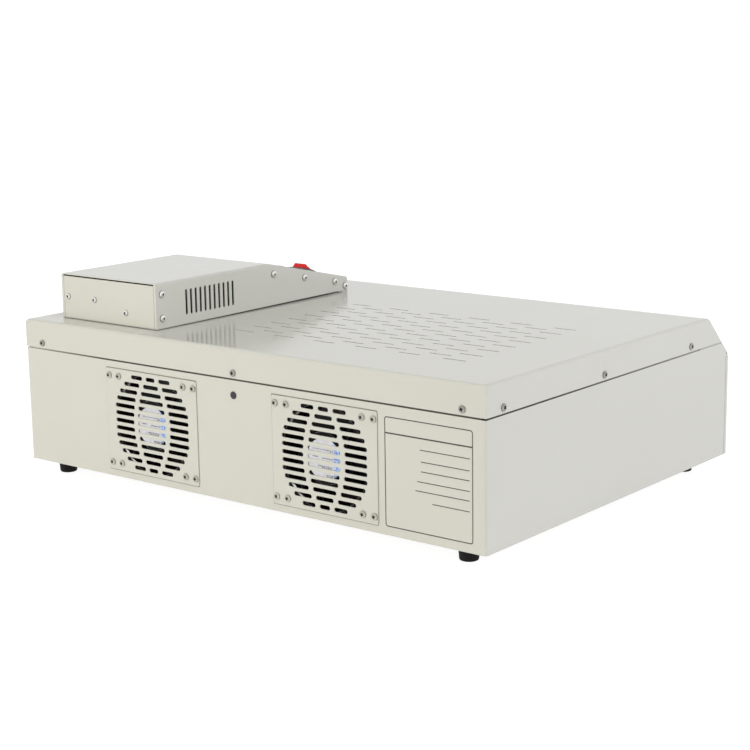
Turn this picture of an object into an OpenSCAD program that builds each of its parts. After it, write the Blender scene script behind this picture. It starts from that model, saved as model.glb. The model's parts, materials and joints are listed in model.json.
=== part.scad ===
// Infrared reflow oven: a wide, low sheet-steel case with a drawer at the front,
// a vented lid, a wedge-shaped control box on top and two fans at the rear.
// Millimetres. X runs across the case, -Y is the drawer side, +Z is up.

/* [Case] */
// Width of the case over its side panels
case_w = 684; // [664:1:710]
// Depth of the case from its front plane to its rear panel
case_d = 504; // [496:1:530]
// Height of the case from its underside to the top of the lid
case_h = 175; // [170:0.5:184]
// Height of the shell, where the seam below the lid begins
shell_h = 139.8; // [138:0.1:143]
// Open part of the seam between shell and lid
seam = 1.6; // [0.6:0.1:2]
// Thickness of the painted sheet steel
sheet_t = 1.2; // [0.9:0.1:1.5]
// Outer radius of the bends along the edges of the lid
lid_bend_r = 4.5; // [2:0.5:6]
// Outer radius of the shell's upright rear corners
corner_r = 2; // [1.6:0.1:4]
// Height of the lower edge of the sloping nose above the underside
nose_z = 123.5; // [122:0.5:127]
// How far back on the lid the sloping nose begins
nose_d = 46.5; // [36:0.5:52]
// Height of the upstand inside the lid's skirt
upstand_h = 16; // [13:1:20]
// How far from the front plane the seam closes up
seam_end = 66; // [50:1:90]

/* [Lid vents] */
// Length of one vent slot
vent_l = 30; // [20:1:40]
// Width of one vent slot
vent_w = 2.5; // [1.5:0.1:4]
// Distance between neighbouring slots of one row
vent_pitch_x = 60; // [56:0.5:64]
// Distance from one row to the next
vent_pitch_y = 15.4; // [12:0.1:16.5]
// Number of rows, every other row one slot shorter
vent_rows = 15; // [5:2:15]
// Slots in the longer rows
vent_cols = 6; // [3:1:6]
// Middle of the vent field across the case
vent_x = -89.5; // [-100:0.5:-75]
// Middle of the vent field along the case
vent_y = 56; // [40:1:70]

/* [Fans] */
// Distance of each fan's axis from the middle of the case
fan_x = 130; // [100:1:170]
// Height of the fan axes above the underside
fan_z = 70; // [66:0.5:72]
// Side of the square fan housing
fan_size = 120; // [119:0.5:121]
// Depth of the fan housing
fan_depth = 38; // [32:1:40]
// Width of the housing outside its bore, both sides together
fan_rim = 6; // [5:0.5:10]
// Distance between the fan's mounting screws, less than its side by this much
fan_screw_less = 15; // [14:0.5:16]
// Diameter of the fan's motor hub
fan_hub_d = 58; // [50:1:66]
// Diameter of the fan's shaft
fan_shaft_d = 5; // [4:0.5:6]
// Radial clearance of the shaft in its bearing
shaft_clear = 0.05; // [0.02:0.01:0.1]
// Number of struts that carry the motor hub
strut_n = 4; // [3:1:5]
// Distance of a strut's line from the fan axis
strut_off = 24; // [18:0.5:25]
// Number of fan blades
blade_n = 7; // [5:1:9]
// Clearance between the blade tips and the bore
tip_clear = 1.5; // [1:0.1:3]

/* [Rear grilles] */
// How far a grille plate reaches past the fan, to each side
grille_past_x = 13; // [12:0.5:18]
// How far a grille plate reaches past the fan, up and down
grille_past_z = 1; // [1:0.5:5]
// Thickness of a grille plate
grille_t = 1; // [0.8:0.1:1.5]
// Radius of the slotted field, past half the fan's side
grille_r_past = 2.5; // [0:0.5:3]
// Height of one slot
grille_slot = 4.8; // [3.5:0.1:5.5]
// Rows above and below the middle row
grille_rows = 6; // [4:1:6]
// Width of the two curved bars between the slots
grille_bar = 6; // [5:0.5:8]
// Distance of the curved bars from the fan axis in the middle row
grille_bar_x = 26; // [24:0.5:28]
// Radius of the curved bars
grille_bar_r = 100; // [90:1:120]
// Distance of the plate's own screws from the side of the fan
grille_screw_past = 8.2; // [6:0.1:10]

/* [Oven chamber] */
// Space between a side panel and the chamber
side_space = 19; // [17:0.5:24]
// Thickness of the chamber's stainless sheet
chamber_t = 1; // [0.8:0.1:1.2]
// Height of the chamber's floor above the underside
chamber_z = 10; // [8:0.5:11]
// Outer height of the chamber
chamber_h = 108; // [104:0.5:109]
// Space behind the chamber for the fans
rear_bay = 64; // [58:0.5:70]
// Diameter of the exhaust holes in the chamber's rear wall
exhaust_d = 92; // [70:1:96]
// Thickness of the insulation over the chamber
insulation_t = 20; // [12:1:21]
// Number of heater tubes
heater_n = 6; // [4:1:6]
// Distance between heater tubes
heater_pitch = 66; // [56:1:70]
// Outer diameter of a quartz heater tube
heater_d = 12; // [10:0.5:13]
// Height of the heater tubes' axes above the underside
heater_z = 98; // [96:0.5:99]

/* [Drawer] */
// Thickness of the drawer front
front_t = 5; // [4.6:0.1:6]
// Gap between the drawer front and the front frame
front_gap = 0.8; // [0.5:0.1:1.2]
// Gap between the drawer front and the nose above it
front_top_gap = 1.2; // [0.6:0.1:2]
// Height of the drawer front's lower edge above the underside
front_z = 0; // [0:0.5:4]
// Width of the viewing window
window_w = 300; // [200:5:360]
// Height of the viewing window
window_h = 40; // [30:1:42]
// Height of the window's middle above the underside
window_z = 84; // [82:0.5:86]
// Thickness of the window glass
glass_t = 3; // [2.4:0.1:3.1]
// Distance between the handle's two posts
handle_pitch = 160; // [120:5:240]
// Diameter of the handle bar
handle_d = 11; // [9:0.5:13]
// How far the handle stands out, over the bar
handle_out = 36; // [30:1:45]
// Height of the handle above the underside
handle_z = 33; // [28:1:38]
// Depth of the tray from front to back
tray_d = 400; // [360:5:405]
// Height of the tray's rim
tray_h = 20; // [14:1:24]
// Height of the tray's underside above the case's underside
tray_z = 30; // [28:0.5:34]
// Distance between the wires of the mesh
mesh_pitch = 25; // [20:5:50]
// Diameter of a mesh wire
wire_d = 2.5; // [2:0.1:3]
// Height of a drawer rail
rail_h = 15; // [13:0.5:17]

/* [Control box] */
// Width of the control box
box_w = 162; // [154:1:170]
// Length of the control box
box_l = 349; // [340:1:356]
// Height of the control box at its rear
box_h = 54.3; // [50:0.1:60]
// Height of the control box at its front edge
box_front_h = 18.7; // [18:0.1:22]
// Length of the flat part of its top
box_flat_l = 195; // [186:1:202]
// Distance of the control box from the side of the case
box_side = 33; // [24:1:40]
// Distance of the control box from the rear of the case
box_back = 32; // [26:1:38]
// Thin gap between the lid and the control box
box_gap = 0.5; // [0.4:0.1:1.5]
// Number of louvre slots in each side of the box
louvre_n = 11; // [7:1:13]
// Distance between louvre slots
louvre_pitch = 8; // [6:0.1:9]
// Height of a louvre slot
louvre_h = 30.5; // [20:0.5:32]
// Width of a louvre slot
louvre_w = 3.4; // [1.5:0.1:4]
// Distance of the louvres' middle from the rear of the box
louvre_back = 90; // [84:1:100]
// Height of the louvres' middle above the bottom of the box
louvre_z = 26.5; // [24:0.5:29]

/* [Control panel] */
// Width of the display's opening
display_w = 92; // [70:1:100]
// Height of the display's opening, along the slope
display_h = 50; // [40:1:54]
// Distance of the display's middle from the ridge, along the slope
display_s = 44; // [42:1:48]
// Distance of the row of keys from the ridge, along the slope
key_s = 100; // [96:1:106]
// Diameter of a key cap
key_d = 10; // [8:0.5:12]
// Distance between key caps
key_pitch = 18; // [16:0.5:19]
// Middle of the row of keys, from the middle of the panel
key_x = 22; // [20:0.5:25]
// How far a key stands above the panel
key_out = 3; // [2.5:0.1:4]
// Clearance round a key and round the rocker
key_clear = 0.4; // [0.35:0.05:0.6]
// Length of the rocker, along the slope
rocker_l = 16.4; // [15:0.2:20]
// Width of the rocker
rocker_w = 18; // [14:0.5:18]
// Tilt of the rocker to either side
rocker_tilt = 24; // [14:1:25]
// Place of the rocker, from the middle of the panel
rocker_x = -56; // [-58:0.5:-52]
// Distance of the rocker from the ridge, along the slope
rocker_s = 93.6; // [88:0.2:100]
// Diameter of the rocker's pivot pin
pivot_d = 3; // [2.5:0.1:3.5]

/* [Feet and fasteners] */
// Height of the rubber feet
foot_h = 16; // [12:0.5:20]
// Diameter of a foot at the top
foot_d = 23; // [20:0.5:26]
// Diameter of a foot at the bottom
foot_base_d = 20.5; // [16:0.5:22]
// Distance of the rear feet from the side panels
foot_rear_side = 38; // [30:1:50]
// Distance of the rear feet from the rear panel
foot_rear_in = 23.5; // [20:0.5:30]
// Distance of the front feet from the side panels
foot_front_side = 32; // [24:1:50]
// Distance of the front feet from the front plane
foot_front_in = 42; // [30:1:50]
// Head diameter of the case screws
screw_head_d = 8; // [7:0.1:9]
// Head height of the case screws
screw_head_h = 2.2; // [1.8:0.1:2.6]
// Thread diameter of the case screws
screw_d = 4; // [3:0.1:4.5]
// Clearance of a screw hole over its thread
hole_clear = 0.4; // [0.2:0.1:0.8]

/* [Hidden] */

// Finish colours
cream = [0.86, 0.85, 0.79];
steel = [0.72, 0.73, 0.74];
zinc = [0.82, 0.82, 0.80];
black = [0.08, 0.08, 0.08];

// How far a cut runs past a face
past = 1;
// Clearance between fixed pieces that are slid together
fit = 0.3;
// Clearance between fixed pieces that lie on each other over a wide face
rest_gap = 0.1;
// Fineness of round fits and of small roundings
fine = 48;
arc_n = 5;

// Planes of the case
half_w = case_w / 2;
front_y = -case_d / 2;
rear_y = case_d / 2;
lid_z = shell_h + seam;
nose_y = front_y - front_gap - front_t;
bend_y = front_y + nose_d;
nose_a = atan2(case_h - nose_z, bend_y - nose_y);
nose_r = 8;
tight_y = front_y + seam_end;
tight_gap = 0.05;
upstand_over = 0.5;
upstand_short = 4;
frame_flange = 15;
frame_chamfer = 6;
frame_ledge = 3.5;

// Lid screws: along each side and along the rear
lid_screw_up = 6.3;
lid_screw_z = lid_z + lid_screw_up;
lid_screw_end = 30;
rear_screw_end = 29;
middle_x = -2;
lid_screw_l = 8;
lid_screw_from_seam = 22;
lid_side_screw_y = [for (k = [0:2])
    tight_y + lid_screw_from_seam
        + k * (rear_y - lid_screw_end - tight_y - lid_screw_from_seam) / 2];
lid_rear_screw_x = [rear_screw_end - half_w, middle_x, half_w - rear_screw_end];

// Plug in the rear wall
plug_down = 17.3;
plug_z = shell_h - plug_down;
plug_d = 7;
plug_grip = 5;
plug_rim = 0.8;
plug_play = 0.1;

// Oven chamber
chamber_w = case_w - 2 * side_space;
chamber_y0 = front_y + sheet_t;
chamber_y1 = rear_y - rear_bay;
chamber_top = chamber_z + chamber_h;
chamber_in_w = chamber_w - 2 * chamber_t;
foot_rail_w = 24;
insulation_gap = 2;
insulation_front = 16;
chamber_foot_in = 60;
chamber_foot_side = 40;

// Temperature probes
probe_d = 3;
probe_x = [-30, 30];
probe_z = 64;
probe_l = 150;
probe_tail = 18;
probe_play = 0.2;
probe_nut_d = 9;
probe_nut_h = 4;

// Drawer rails, runners and tray
rail_t = 1.5;
rail_d = 13;
rail_bend_r = 2;
rail_start = 1;
rail_stop = 12;
rail_z = tray_z + tray_h / 2;
runner_gap = 0.5;
tray_w = chamber_in_w - 2 * rail_d - 2 * runner_gap;
liner_edge = 3;
liner_d = 10;
liner_y = front_y - front_gap + liner_d;
tray_y0 = liner_y;
tray_y1 = tray_y0 + tray_d;
tray_t = 1.2;
tray_lip = 12;
wire_play = 0.5;
wire_step = 0.05;
mesh_z = tray_z + tray_t + wire_d / 2;
front_z1 = nose_z - front_top_gap;
face_back = nose_y + sheet_t;
glass_edge = 7;
window_trim_t = front_t - sheet_t - glass_t;
liner_window_x = 1;
liner_window_z = 3;
seal_x = 5;
seal_low = 3;
seal_high = 1;
seal_w = 8;
seal_h = 2.5;

// Handle
handle_bend_r = 12;
handle_foot = 3;
handle_foot_t = 2.5;
handle_bore = 10;
handle_screw_in = 9;
handle_screw_l = sheet_t + handle_screw_in;
handle_screw_play = 0.1;

// Heaters
heater_y = [for (k = [0:heater_n - 1])
    (tray_y0 + tray_y1) / 2 + (k - (heater_n - 1) / 2) * heater_pitch];
heater_wall = 1;
heater_end = 20;
heater_l = chamber_in_w - 2 * heater_end;
filament_d = 2.4;
cap_wall = 2;
cap_d = heater_d + 2 * cap_wall;
cap_l = 18;
cap_grip = 8;
cap_flange = 2.5;
cap_flange_t = 2;
cap_play = 0.1;
bracket_off = 4;
bracket_x = heater_l / 2 - cap_grip + cap_flange_t + bracket_off;
bracket_t = 1.2;
bracket_drop = 12;
bracket_foot = 14;
bracket_end = 20;
reflector_t = 0.6;
reflector_gap = 1;
trough_drop = 9;
trough_flat = 0.36;

// Fans: each housing stands in a square opening, right behind its grille plate
fan_bore = fan_size - fan_rim;
fan_screw_pitch = fan_size - fan_screw_less;
fan_play = 0.5;
function fan_at(side) = middle_x + side * fan_x;
fan_lip = 2;
fan_lip_t = 4;
fan_flange = 5;
fan_corner_r = 6;
fan_wall = 2.5;
fan_post_d = 9;
fan_hub_t = 8;
fan_hub_gap = 1.5;
fan_hub_r = 2;
fan_inner_gap = 1;
bearing_floor = 2.5;
shaft_end_gap = 0.5;
strut_lean = 14;
strut_w = 4;
strut_t = 5;
strut_in = 1;
strut_r = 1.2;
strut_start = 8;
blade_r0 = fan_hub_d / 2 - 1;
blade_r1 = fan_bore / 2 - tip_clear;
blade_t = 2.2;
blade_h = 22;
blade_camber = 3.5;
blade_thin = 0.4;
blade_chord = 0.92;
blade_pitch_tip = 22;
blade_pitch_more = 20;
blade_steps = 3;
blade_ring = 8;

// Rear grilles
grille_w = fan_size + 2 * grille_past_x;
grille_h = fan_size + 2 * grille_past_z;
grille_r = fan_size / 2 + grille_r_past;
grille_top = 8.5;
grille_pitch = (grille_r - grille_top) / grille_rows;
grille_screw_x = fan_size / 2 + grille_screw_past;
grille_flat = 3.3;
grille_corner_r = 2;
grille_screw_l = 6;
fan_screw_l = 12;

// Control box
box_x = half_w - box_side - box_w / 2;
box_rear = rear_y - box_back;
box_z = case_h + box_gap;
slope_run = box_l - box_flat_l;
slope_a = atan2(box_h - box_front_h, slope_run);
box_r = 2.5;
box_lip = 3.6;
box_top_gap = 1.6;
box_in_w = box_w - 2 * sheet_t;
tray_lift = 2;
flange_h = 10;
flange_low_h = 8;
flange_drop = [50, 30];
flange_tab_l = 20;
flange_tab_down = 8;
flange_tab_h = box_h - flange_tab_down;
front_tab_l = 8;
front_tab_h = 11;
rear_corner_w = 6;
cover_foot_l = 12;
cover_cut = 2;
cover_nose_r = 3;
louvre_y = [for (k = [0:louvre_n - 1])
    -louvre_back + (k - (louvre_n - 1) / 2) * louvre_pitch];
front_screw = 5;
box_side_screws = [[-9.5, 12.5], [-9.5, 41.1], [-box_l + front_screw, 7.5]];
slope_screws = [[10, 11.8], [70.4, 10], [131.8, 9]];
box_rear_screws = [[70, 26.5], [24, 26.2], [-29.5, 15.3]];
box_screw_d = 8.2;
box_screw_side_h = 2.8;
box_rear_screw_d = 7;
box_screw_rear_h = 2;
box_screw_l = 6;
cable_x = 30;
cable_y = -60;
cable_d = 22;
grommet_wall = 4;
grommet_play = 0.1;
grommet_rim = 2.5;
grommet_rim_t = 2;
grommet_tail = 3;
spacer_d = 12;
spacer_in = [22, 24, 60];
spacer_at = [for (x = [-1, 1], y = [-spacer_in[1], spacer_in[2] - box_l])
    [x * (box_w / 2 - spacer_in[0]), y]];

// Control panel
display_depth = 8;
window_edge = 3;
window_back_t = 1;
window_sunk = 0.1;
module_bezel_t = 3;
module_edge = [9, 3];
module_lens_gap = 0.4;
module_clip = [2, 4];
panel_cut = 5;
panel_ledge = 12;
panel_bend_r = 2.5;
panel_flange_h = 17;
panel_flange_y = [5, 14, 6];
panel_flange_z = [14, 4];
key_at = [for (k = [-2:2]) key_x + k * key_pitch];
key_travel = 1.2;
key_play = 0.3;
key_rim = 1.5;
key_board_gap = 9;
key_board_t = 1.6;
key_board_w = 24;
key_board_end = [12, 9];
key_switch = 6;
key_switch_h = 4;
key_post = [3, 9, 4];
bezel_t = 2.6;
bezel_edge_t = 0.8;
bezel_edge = 3;
bezel_lip = 0.8;
rocker_wall = 1.5;
housing_w = rocker_w + 2 * key_clear + 2 * rocker_wall;
housing_l = rocker_l + 2 * key_clear + 2 * rocker_wall;
housing_h = 16;
housing_floor = 2;
housing_play = 0.1;
rocker_pivot_h = 0.5;
rocker_rise = 6;
rocker_dip = 0.9;
rocker_taper = 1.9;
rocker_low = 2.5;
rocker_toe = [2, 7];
rocker_low_in = 0.7;
pivot_end = 0.8;

// Parts on the floor of the control box
board_at = [-25, -200];
board_size = [70, 100, 1.6];
board_post = [6, 6, 6];
board_core = [-25, 15, -11, 38, 26.4];
board_cans = [-36, -22];
board_can_size = [-11, 10, 15.4];
board_chip = [15, -40, 29, -6, 3.4];
relay_at = [[-48, -112], [8, -112]];
relay_size = [44, 56, 23];
relay_hole = [21, 8, 7];

// Mains inlet in the side panel behind the chamber
inlet_w = 50;
inlet_h = 34;
inlet_body_w = 32;
inlet_body_h = 24;
inlet_depth = 24;
inlet_off = 1;
inlet_y = rear_y - rear_bay / 2 - inlet_off;
inlet_z = 44;
inlet_pitch = 40;
inlet_corner_r = 4;
inlet_wall = 2.5;
inlet_floor = 3;
inlet_pin = [2, 6];
inlet_pin_at = [[-8, -3], [8, -3], [0, 4]];
inlet_pin_in = 4;
inlet_pin_tail = 8;
inlet_screw_head_d = 7;
inlet_screw_l = 9;

// Terminal block
terminal_off = 62;
terminal_x = fan_at(1) + fan_size / 2 + terminal_off;
terminal_base = [68, 24, 5];
terminal_pole = [13, 18, 13];
terminal_pitch = 16;
terminal_hole = [5, 8, 4];

// Feet
foot_cup_h = 5;
foot_cup_w = 2.5;
foot_edge_r = 2;
foot_play = 0.05;
foot_screw_l = 9;
foot_screw_h = 3;

// The model stands on its feet, with the origin below the middle of its full depth
reach_front = nose_y - handle_out;
reach_rear = rear_y + grille_t + screw_head_h;
module placed() {
    translate([0, -(reach_front + reach_rear) / 2, foot_h]) children();
}

// Plane of the nose at height z, set in by o
function nose_at(z, o = 0) = nose_y + (z - nose_z) / tan(nose_a) + o / sin(nose_a);

// Rounded outlines: each point is [u, v] or [u, v, radius]
function xy(p) = [p[0], p[1]];
function unit(v) = v / norm(v);
function arc_points(c, r, a0, sweep) = [for (i = [0:arc_n])
    c + r * [cos(a0 + sweep * i / arc_n), sin(a0 + sweep * i / arc_n)]];
function short_way(a) = a > 180 ? a - 360 : a < -180 ? a + 360 : a;
function fillet(a, b, c, r) =
    let (u = unit(a - b), v = unit(c - b), half = acos(u * v) / 2,
         mid = b + unit(u + v) * r / sin(half),
         p = b + u * r / tan(half) - mid, q = b + v * r / tan(half) - mid,
         a0 = atan2(p[1], p[0]), a1 = atan2(q[1], q[0]))
    arc_points(mid, r, a0, short_way(a1 - a0));
function smooth(pts) = let (n = len(pts)) [for (i = [0:n - 1])
    let (r = len(pts[i]) > 2 ? pts[i][2] : 0)
    each r > 0 ? fillet(xy(pts[(i + n - 1) % n]), xy(pts[i]), xy(pts[(i + 1) % n]), r)
               : [xy(pts[i])]];

// A bent sheet: the path is its outer side, the sheet lies to the left of it
function left(v) = [-v[1], v[0]];
function side_shift(a, b, c, t) =
    let (n0 = left(unit(b - a)), n1 = left(unit(c - b)))
    (n0 + n1) * t / (1 + n0 * n1);
function shifted(path, t) = let (n = len(path)) [for (i = [0:n - 1])
    let (p = xy(path[i]), r = len(path[i]) > 2 ? path[i][2] : 0)
    i == 0 ? p + t * left(unit(xy(path[1]) - p)) :
    i == n - 1 ? p + t * left(unit(p - xy(path[n - 2]))) :
    let (a = xy(path[i - 1]), c = xy(path[i + 1]),
         q = p + side_shift(a, p, c, t),
         turn = sign(cross(p - a, c - p)),
         rr = r > 0 ? max(r - turn * t, 0.1) : 0)
    [q[0], q[1], rr]];
function backwards(path) = [for (i = [len(path) - 1:-1:0]) path[i]];
module sheet_outline(path, t) {
    polygon(smooth(concat(path, backwards(shifted(path, t)))));
}

// Extrude a (y, z) outline along X, or an (x, z) outline along Y, about the middle
module along_x(w) {
    rotate([90, 0, 90]) linear_extrude(w, center = true) children();
}
module along_y(y0, y1) {
    translate([0, y1, 0]) rotate([90, 0, 0]) linear_extrude(y1 - y0) children();
}

// A block from its lowest corner to its highest
module block(a, b) {
    translate(a) cube(b - a);
}

// A flat outline with rounded corners, its middle at the origin
module rounded_plate(w, h, r) {
    polygon(smooth([for (c = [[-1, -1], [1, -1], [1, 1], [-1, 1]])
        [c[0] * w / 2, c[1] * h / 2, r]]));
}

// A slot with round ends, its middle at the origin
module slot(l, w) {
    square([l - w, w], center = true);
    for (s = [-1, 1]) translate([s * (l - w) / 2, 0]) circle(d = w, $fn = 24);
}

// A round hole or rod along X, Y or Z from one place to another
module rod_x(x0, x1, y, z, d) {
    translate([x0, y, z]) rotate([0, 90, 0]) cylinder(h = x1 - x0, d = d, $fn = fine);
}
module rod_y(y0, y1, x, z, d) {
    translate([x, y1, z]) rotate([90, 0, 0]) cylinder(h = y1 - y0, d = d, $fn = fine);
}
module rod_z(z0, z1, x, y, d) {
    translate([x, y, z0]) cylinder(h = z1 - z0, d = d, $fn = fine);
}

// A pan-head screw with its head above the origin and its thread below
module screw(l, head_d = screw_head_d, head_h = screw_head_h, d = screw_d) {
    rotate_extrude($fn = fine)
        polygon(smooth([[0, -l], [d / 2, -l], [d / 2, 0], [head_d / 2, 0],
            [head_d / 2, head_h, head_h * 0.7], [0, head_h]]));
}
module countersunk(l) {
    r = screw_d / 2;
    rotate_extrude($fn = fine)
        polygon([[0, -l], [r, -l], [r, r - inlet_screw_head_d / 2],
            [inlet_screw_head_d / 2, 0], [0, 0]]);
}
module screw_hole(y0, y1, x, z) {
    rod_y(y0, y1, x, z, screw_d + hole_clear);
}

// Shell of the case: sides and rear from one sheet
function shell_plan(o) = [[-half_w + o, front_y - o], [half_w - o, front_y - o],
    [half_w - o, rear_y - o, corner_r - o], [-half_w + o, rear_y - o, corner_r - o]];
function shell_side() =
    let (z = lid_z - tight_gap, o = sheet_t + tight_gap,
         z0 = nose_z + (front_y - o / sin(nose_a) - nose_y) * tan(nose_a))
    [[front_y, 0], [rear_y, 0], [rear_y, shell_h], [tight_y, shell_h], [tight_y, z],
     [nose_at(z, o), z], [front_y, z0]];
module upstand() {
    z0 = fan_z + fan_size / 2 + fan_play + upstand_over;
    z1 = shell_h + upstand_h;
    x = half_w - sheet_t;
    y0 = nose_at(z1, sheet_t) + upstand_short;
    y1 = rear_y - 2 * corner_r;
    for (s = [-1, 1])
        translate([s * (x - sheet_t / 2), 0, 0])
            along_x(sheet_t) polygon([[y0, z0], [y1, z0], [y1, z1], [y0, z1]]);
    block([-x + 2 * corner_r, rear_y - 2 * sheet_t, z0],
          [x - 2 * corner_r, rear_y - sheet_t, z1]);
    // Below the seam it is joined to the walls
    for (s = [-1, 1])
        translate([s * (x - sheet_t / 4), 0, 0])
            along_x(1.5 * sheet_t) polygon([[y0, z0], [y1, z0], [y1, shell_h - sheet_t],
                [y0, shell_h - sheet_t]]);
    block([-x + 2 * corner_r, rear_y - 2 * sheet_t, z0],
          [x - 2 * corner_r, rear_y - sheet_t / 2, shell_h - sheet_t]);
}
module body_shell() {
    rear_in = rear_y - 3 * sheet_t;
    color(cream) difference() {
        union() {
            difference() {
                intersection() {
                    linear_extrude(case_h) polygon(smooth(shell_plan(0)));
                    along_x(case_w) polygon(shell_side());
                }
                translate([0, 0, -past]) linear_extrude(case_h)
                    polygon(smooth(shell_plan(sheet_t)));
            }
            upstand();
        }
        for (f = [-1, 1]) {
            translate([fan_at(f), 0, fan_z]) along_y(rear_in, rear_y + past)
                rounded_plate(fan_size + 2 * fan_play, fan_size + 2 * fan_play, fan_corner_r);
            for (x = [-1, 1], z = [-1, 1])
                screw_hole(rear_in, rear_y + past, fan_at(f) + x * grille_screw_x,
                    fan_z + z * fan_screw_pitch / 2);
        }
        rod_y(rear_in, rear_y + past, middle_x, plug_z, plug_d);
        for (x = lid_rear_screw_x) screw_hole(rear_in, rear_y + past, x, lid_screw_z);
        for (y = lid_side_screw_y)
            rod_x(-half_w - past, half_w + past, y, lid_screw_z, screw_d + hole_clear);
        translate([half_w - 2 * sheet_t, inlet_y, inlet_z])
            along_x(6 * sheet_t) square([inlet_body_w + 2 * fit, inlet_body_h + 2 * fit],
                center = true);
        for (s = [-1, 1])
            rod_x(half_w - 3 * sheet_t, half_w + past, inlet_y + s * inlet_pitch / 2, inlet_z,
                screw_d + hole_clear);
    }
}

// Floor of the case, a flat sheet between the walls
module floor_pan() {
    x = half_w - sheet_t - rest_gap;
    y = rear_y - sheet_t - rest_gap;
    color(cream) difference() {
        linear_extrude(sheet_t) polygon(smooth([[-x, front_y], [x, front_y],
            [x, y, corner_r - sheet_t], [-x, y, corner_r - sheet_t]]));
        foot_places() rod_z(-past, 2 * sheet_t, 0, 0, screw_d + hole_clear);
    }
}

// Frame round the drawer opening
module front_frame() {
    x = half_w - sheet_t;
    back = front_y + frame_flange;
    opening_x = chamber_in_w / 2;
    color(cream) difference() {
        union() {
            block([-x, front_y, sheet_t], [x, front_y + sheet_t, nose_z + sheet_t]);
            for (s = [-1, 1])
                translate([s * (x - sheet_t / 2), 0, 0])
                    along_x(sheet_t) polygon([[front_y, sheet_t], [back, sheet_t],
                        [back, nose_z - frame_chamfer], [front_y, nose_z]]);
            block([-x, front_y, nose_z], [x, front_y + frame_ledge, nose_z + sheet_t]);
        }
        block([-opening_x, front_y - past, chamber_z + chamber_t],
              [opening_x, front_y + sheet_t + past, chamber_top - chamber_t]);
    }
}

// Lid with skirts, sloping nose and staggered vents
function lid_side(o, z) = [[rear_y - o, z], [rear_y - o, case_h - o, lid_bend_r - o],
    [bend_y + o * tan(nose_a / 2), case_h - o, nose_r - o], [nose_at(z, o), z]];
function lid_front(o, z) = [[-half_w + o, z], [half_w - o, z],
    [half_w - o, case_h - o, lid_bend_r - o], [-half_w + o, case_h - o, lid_bend_r - o]];
module lid_form(o, z) {
    intersection() {
        along_x(case_w) polygon(smooth(lid_side(o, z)));
        along_y(nose_y - past, rear_y + past) polygon(smooth(lid_front(o, z)));
    }
}
module vent_field() {
    for (r = [0:vent_rows - 1])
        let (n = vent_cols - r % 2)
        for (c = [0:n - 1])
            translate([vent_x + (c - (n - 1) / 2) * vent_pitch_x,
                vent_y + (r - (vent_rows - 1) / 2) * vent_pitch_y])
                slot(vent_l, vent_w);
}
module lid() {
    color(cream) difference() {
        union() {
            difference() {
                lid_form(0, lid_z);
                lid_form(sheet_t, lid_z - past);
            }
            along_x(case_w) polygon([[nose_at(lid_z), lid_z], [nose_y, nose_z],
                [front_y, nose_z], [front_y, nose_z + sheet_t],
                [nose_at(nose_z + sheet_t, sheet_t), nose_z + sheet_t],
                [nose_at(lid_z, sheet_t), lid_z]]);
        }
        translate([0, 0, case_h - 2 * sheet_t]) linear_extrude(4 * sheet_t) vent_field();
        for (x = lid_rear_screw_x)
            screw_hole(rear_y - 2 * sheet_t, rear_y + past, x, lid_screw_z);
        for (y = lid_side_screw_y)
            rod_x(-half_w - past, half_w + past, y, lid_screw_z, screw_d + hole_clear);
        in_box() {
            low = -box_gap - 2 * sheet_t;
            rod_z(low, 0, cable_x, cable_y, cable_d);
            for (p = spacer_at) rod_z(low, 0, p[0], p[1], screw_d + hole_clear);
        }
    }
}
module lid_screws() {
    color(zinc) {
        for (x = lid_rear_screw_x)
            translate([x, rear_y, lid_screw_z]) rotate([-90, 0, 0]) screw(lid_screw_l);
        for (s = [-1, 1], y = lid_side_screw_y)
            translate([s * half_w, y, lid_screw_z]) rotate([0, s * 90, 0])
                screw(lid_screw_l);
    }
}

// Slotted plate over a fan opening
function grille_end(z) = min(grille_r - grille_flat, sqrt(grille_r ^ 2 - z ^ 2));
function grille_mid(z) = grille_bar_x - grille_bar_r + sqrt(grille_bar_r ^ 2 - z ^ 2);
module grille_slots() {
    for (k = [-grille_rows:grille_rows]) {
        z = k * grille_pitch;
        inner = grille_mid(z) - grille_bar / 2;
        outer = grille_end(z);
        translate([0, z]) slot(2 * inner, grille_slot);
        for (s = [-1, 1])
            translate([s * (inner + grille_bar + outer) / 2, z])
                slot(outer - inner - grille_bar, grille_slot);
    }
}
module grille(side) {
    translate([fan_at(side), rear_y + grille_t, fan_z]) rotate([90, 0, 0])
        color(cream) linear_extrude(grille_t) difference() {
            rounded_plate(grille_w, grille_h, grille_corner_r);
            grille_slots();
            for (x = [-1, 1], z = [-1, 1], dx = [fan_screw_pitch / 2, grille_screw_x])
                translate([x * dx, z * fan_screw_pitch / 2])
                    circle(d = screw_d + hole_clear, $fn = fine);
        }
}
module rear_screws(x_off, l) {
    for (f = [-1, 1], x = [-1, 1], z = [-1, 1])
        translate([fan_at(f) + x * x_off, rear_y + grille_t, fan_z + z * fan_screw_pitch / 2])
            rotate([-90, 0, 0]) screw(l);
}
module grille_screws() {
    color(zinc) rear_screws(grille_screw_x, grille_screw_l);
}
module fan_screws() {
    color(zinc) rear_screws(fan_screw_pitch / 2, fan_screw_l);
}

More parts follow.
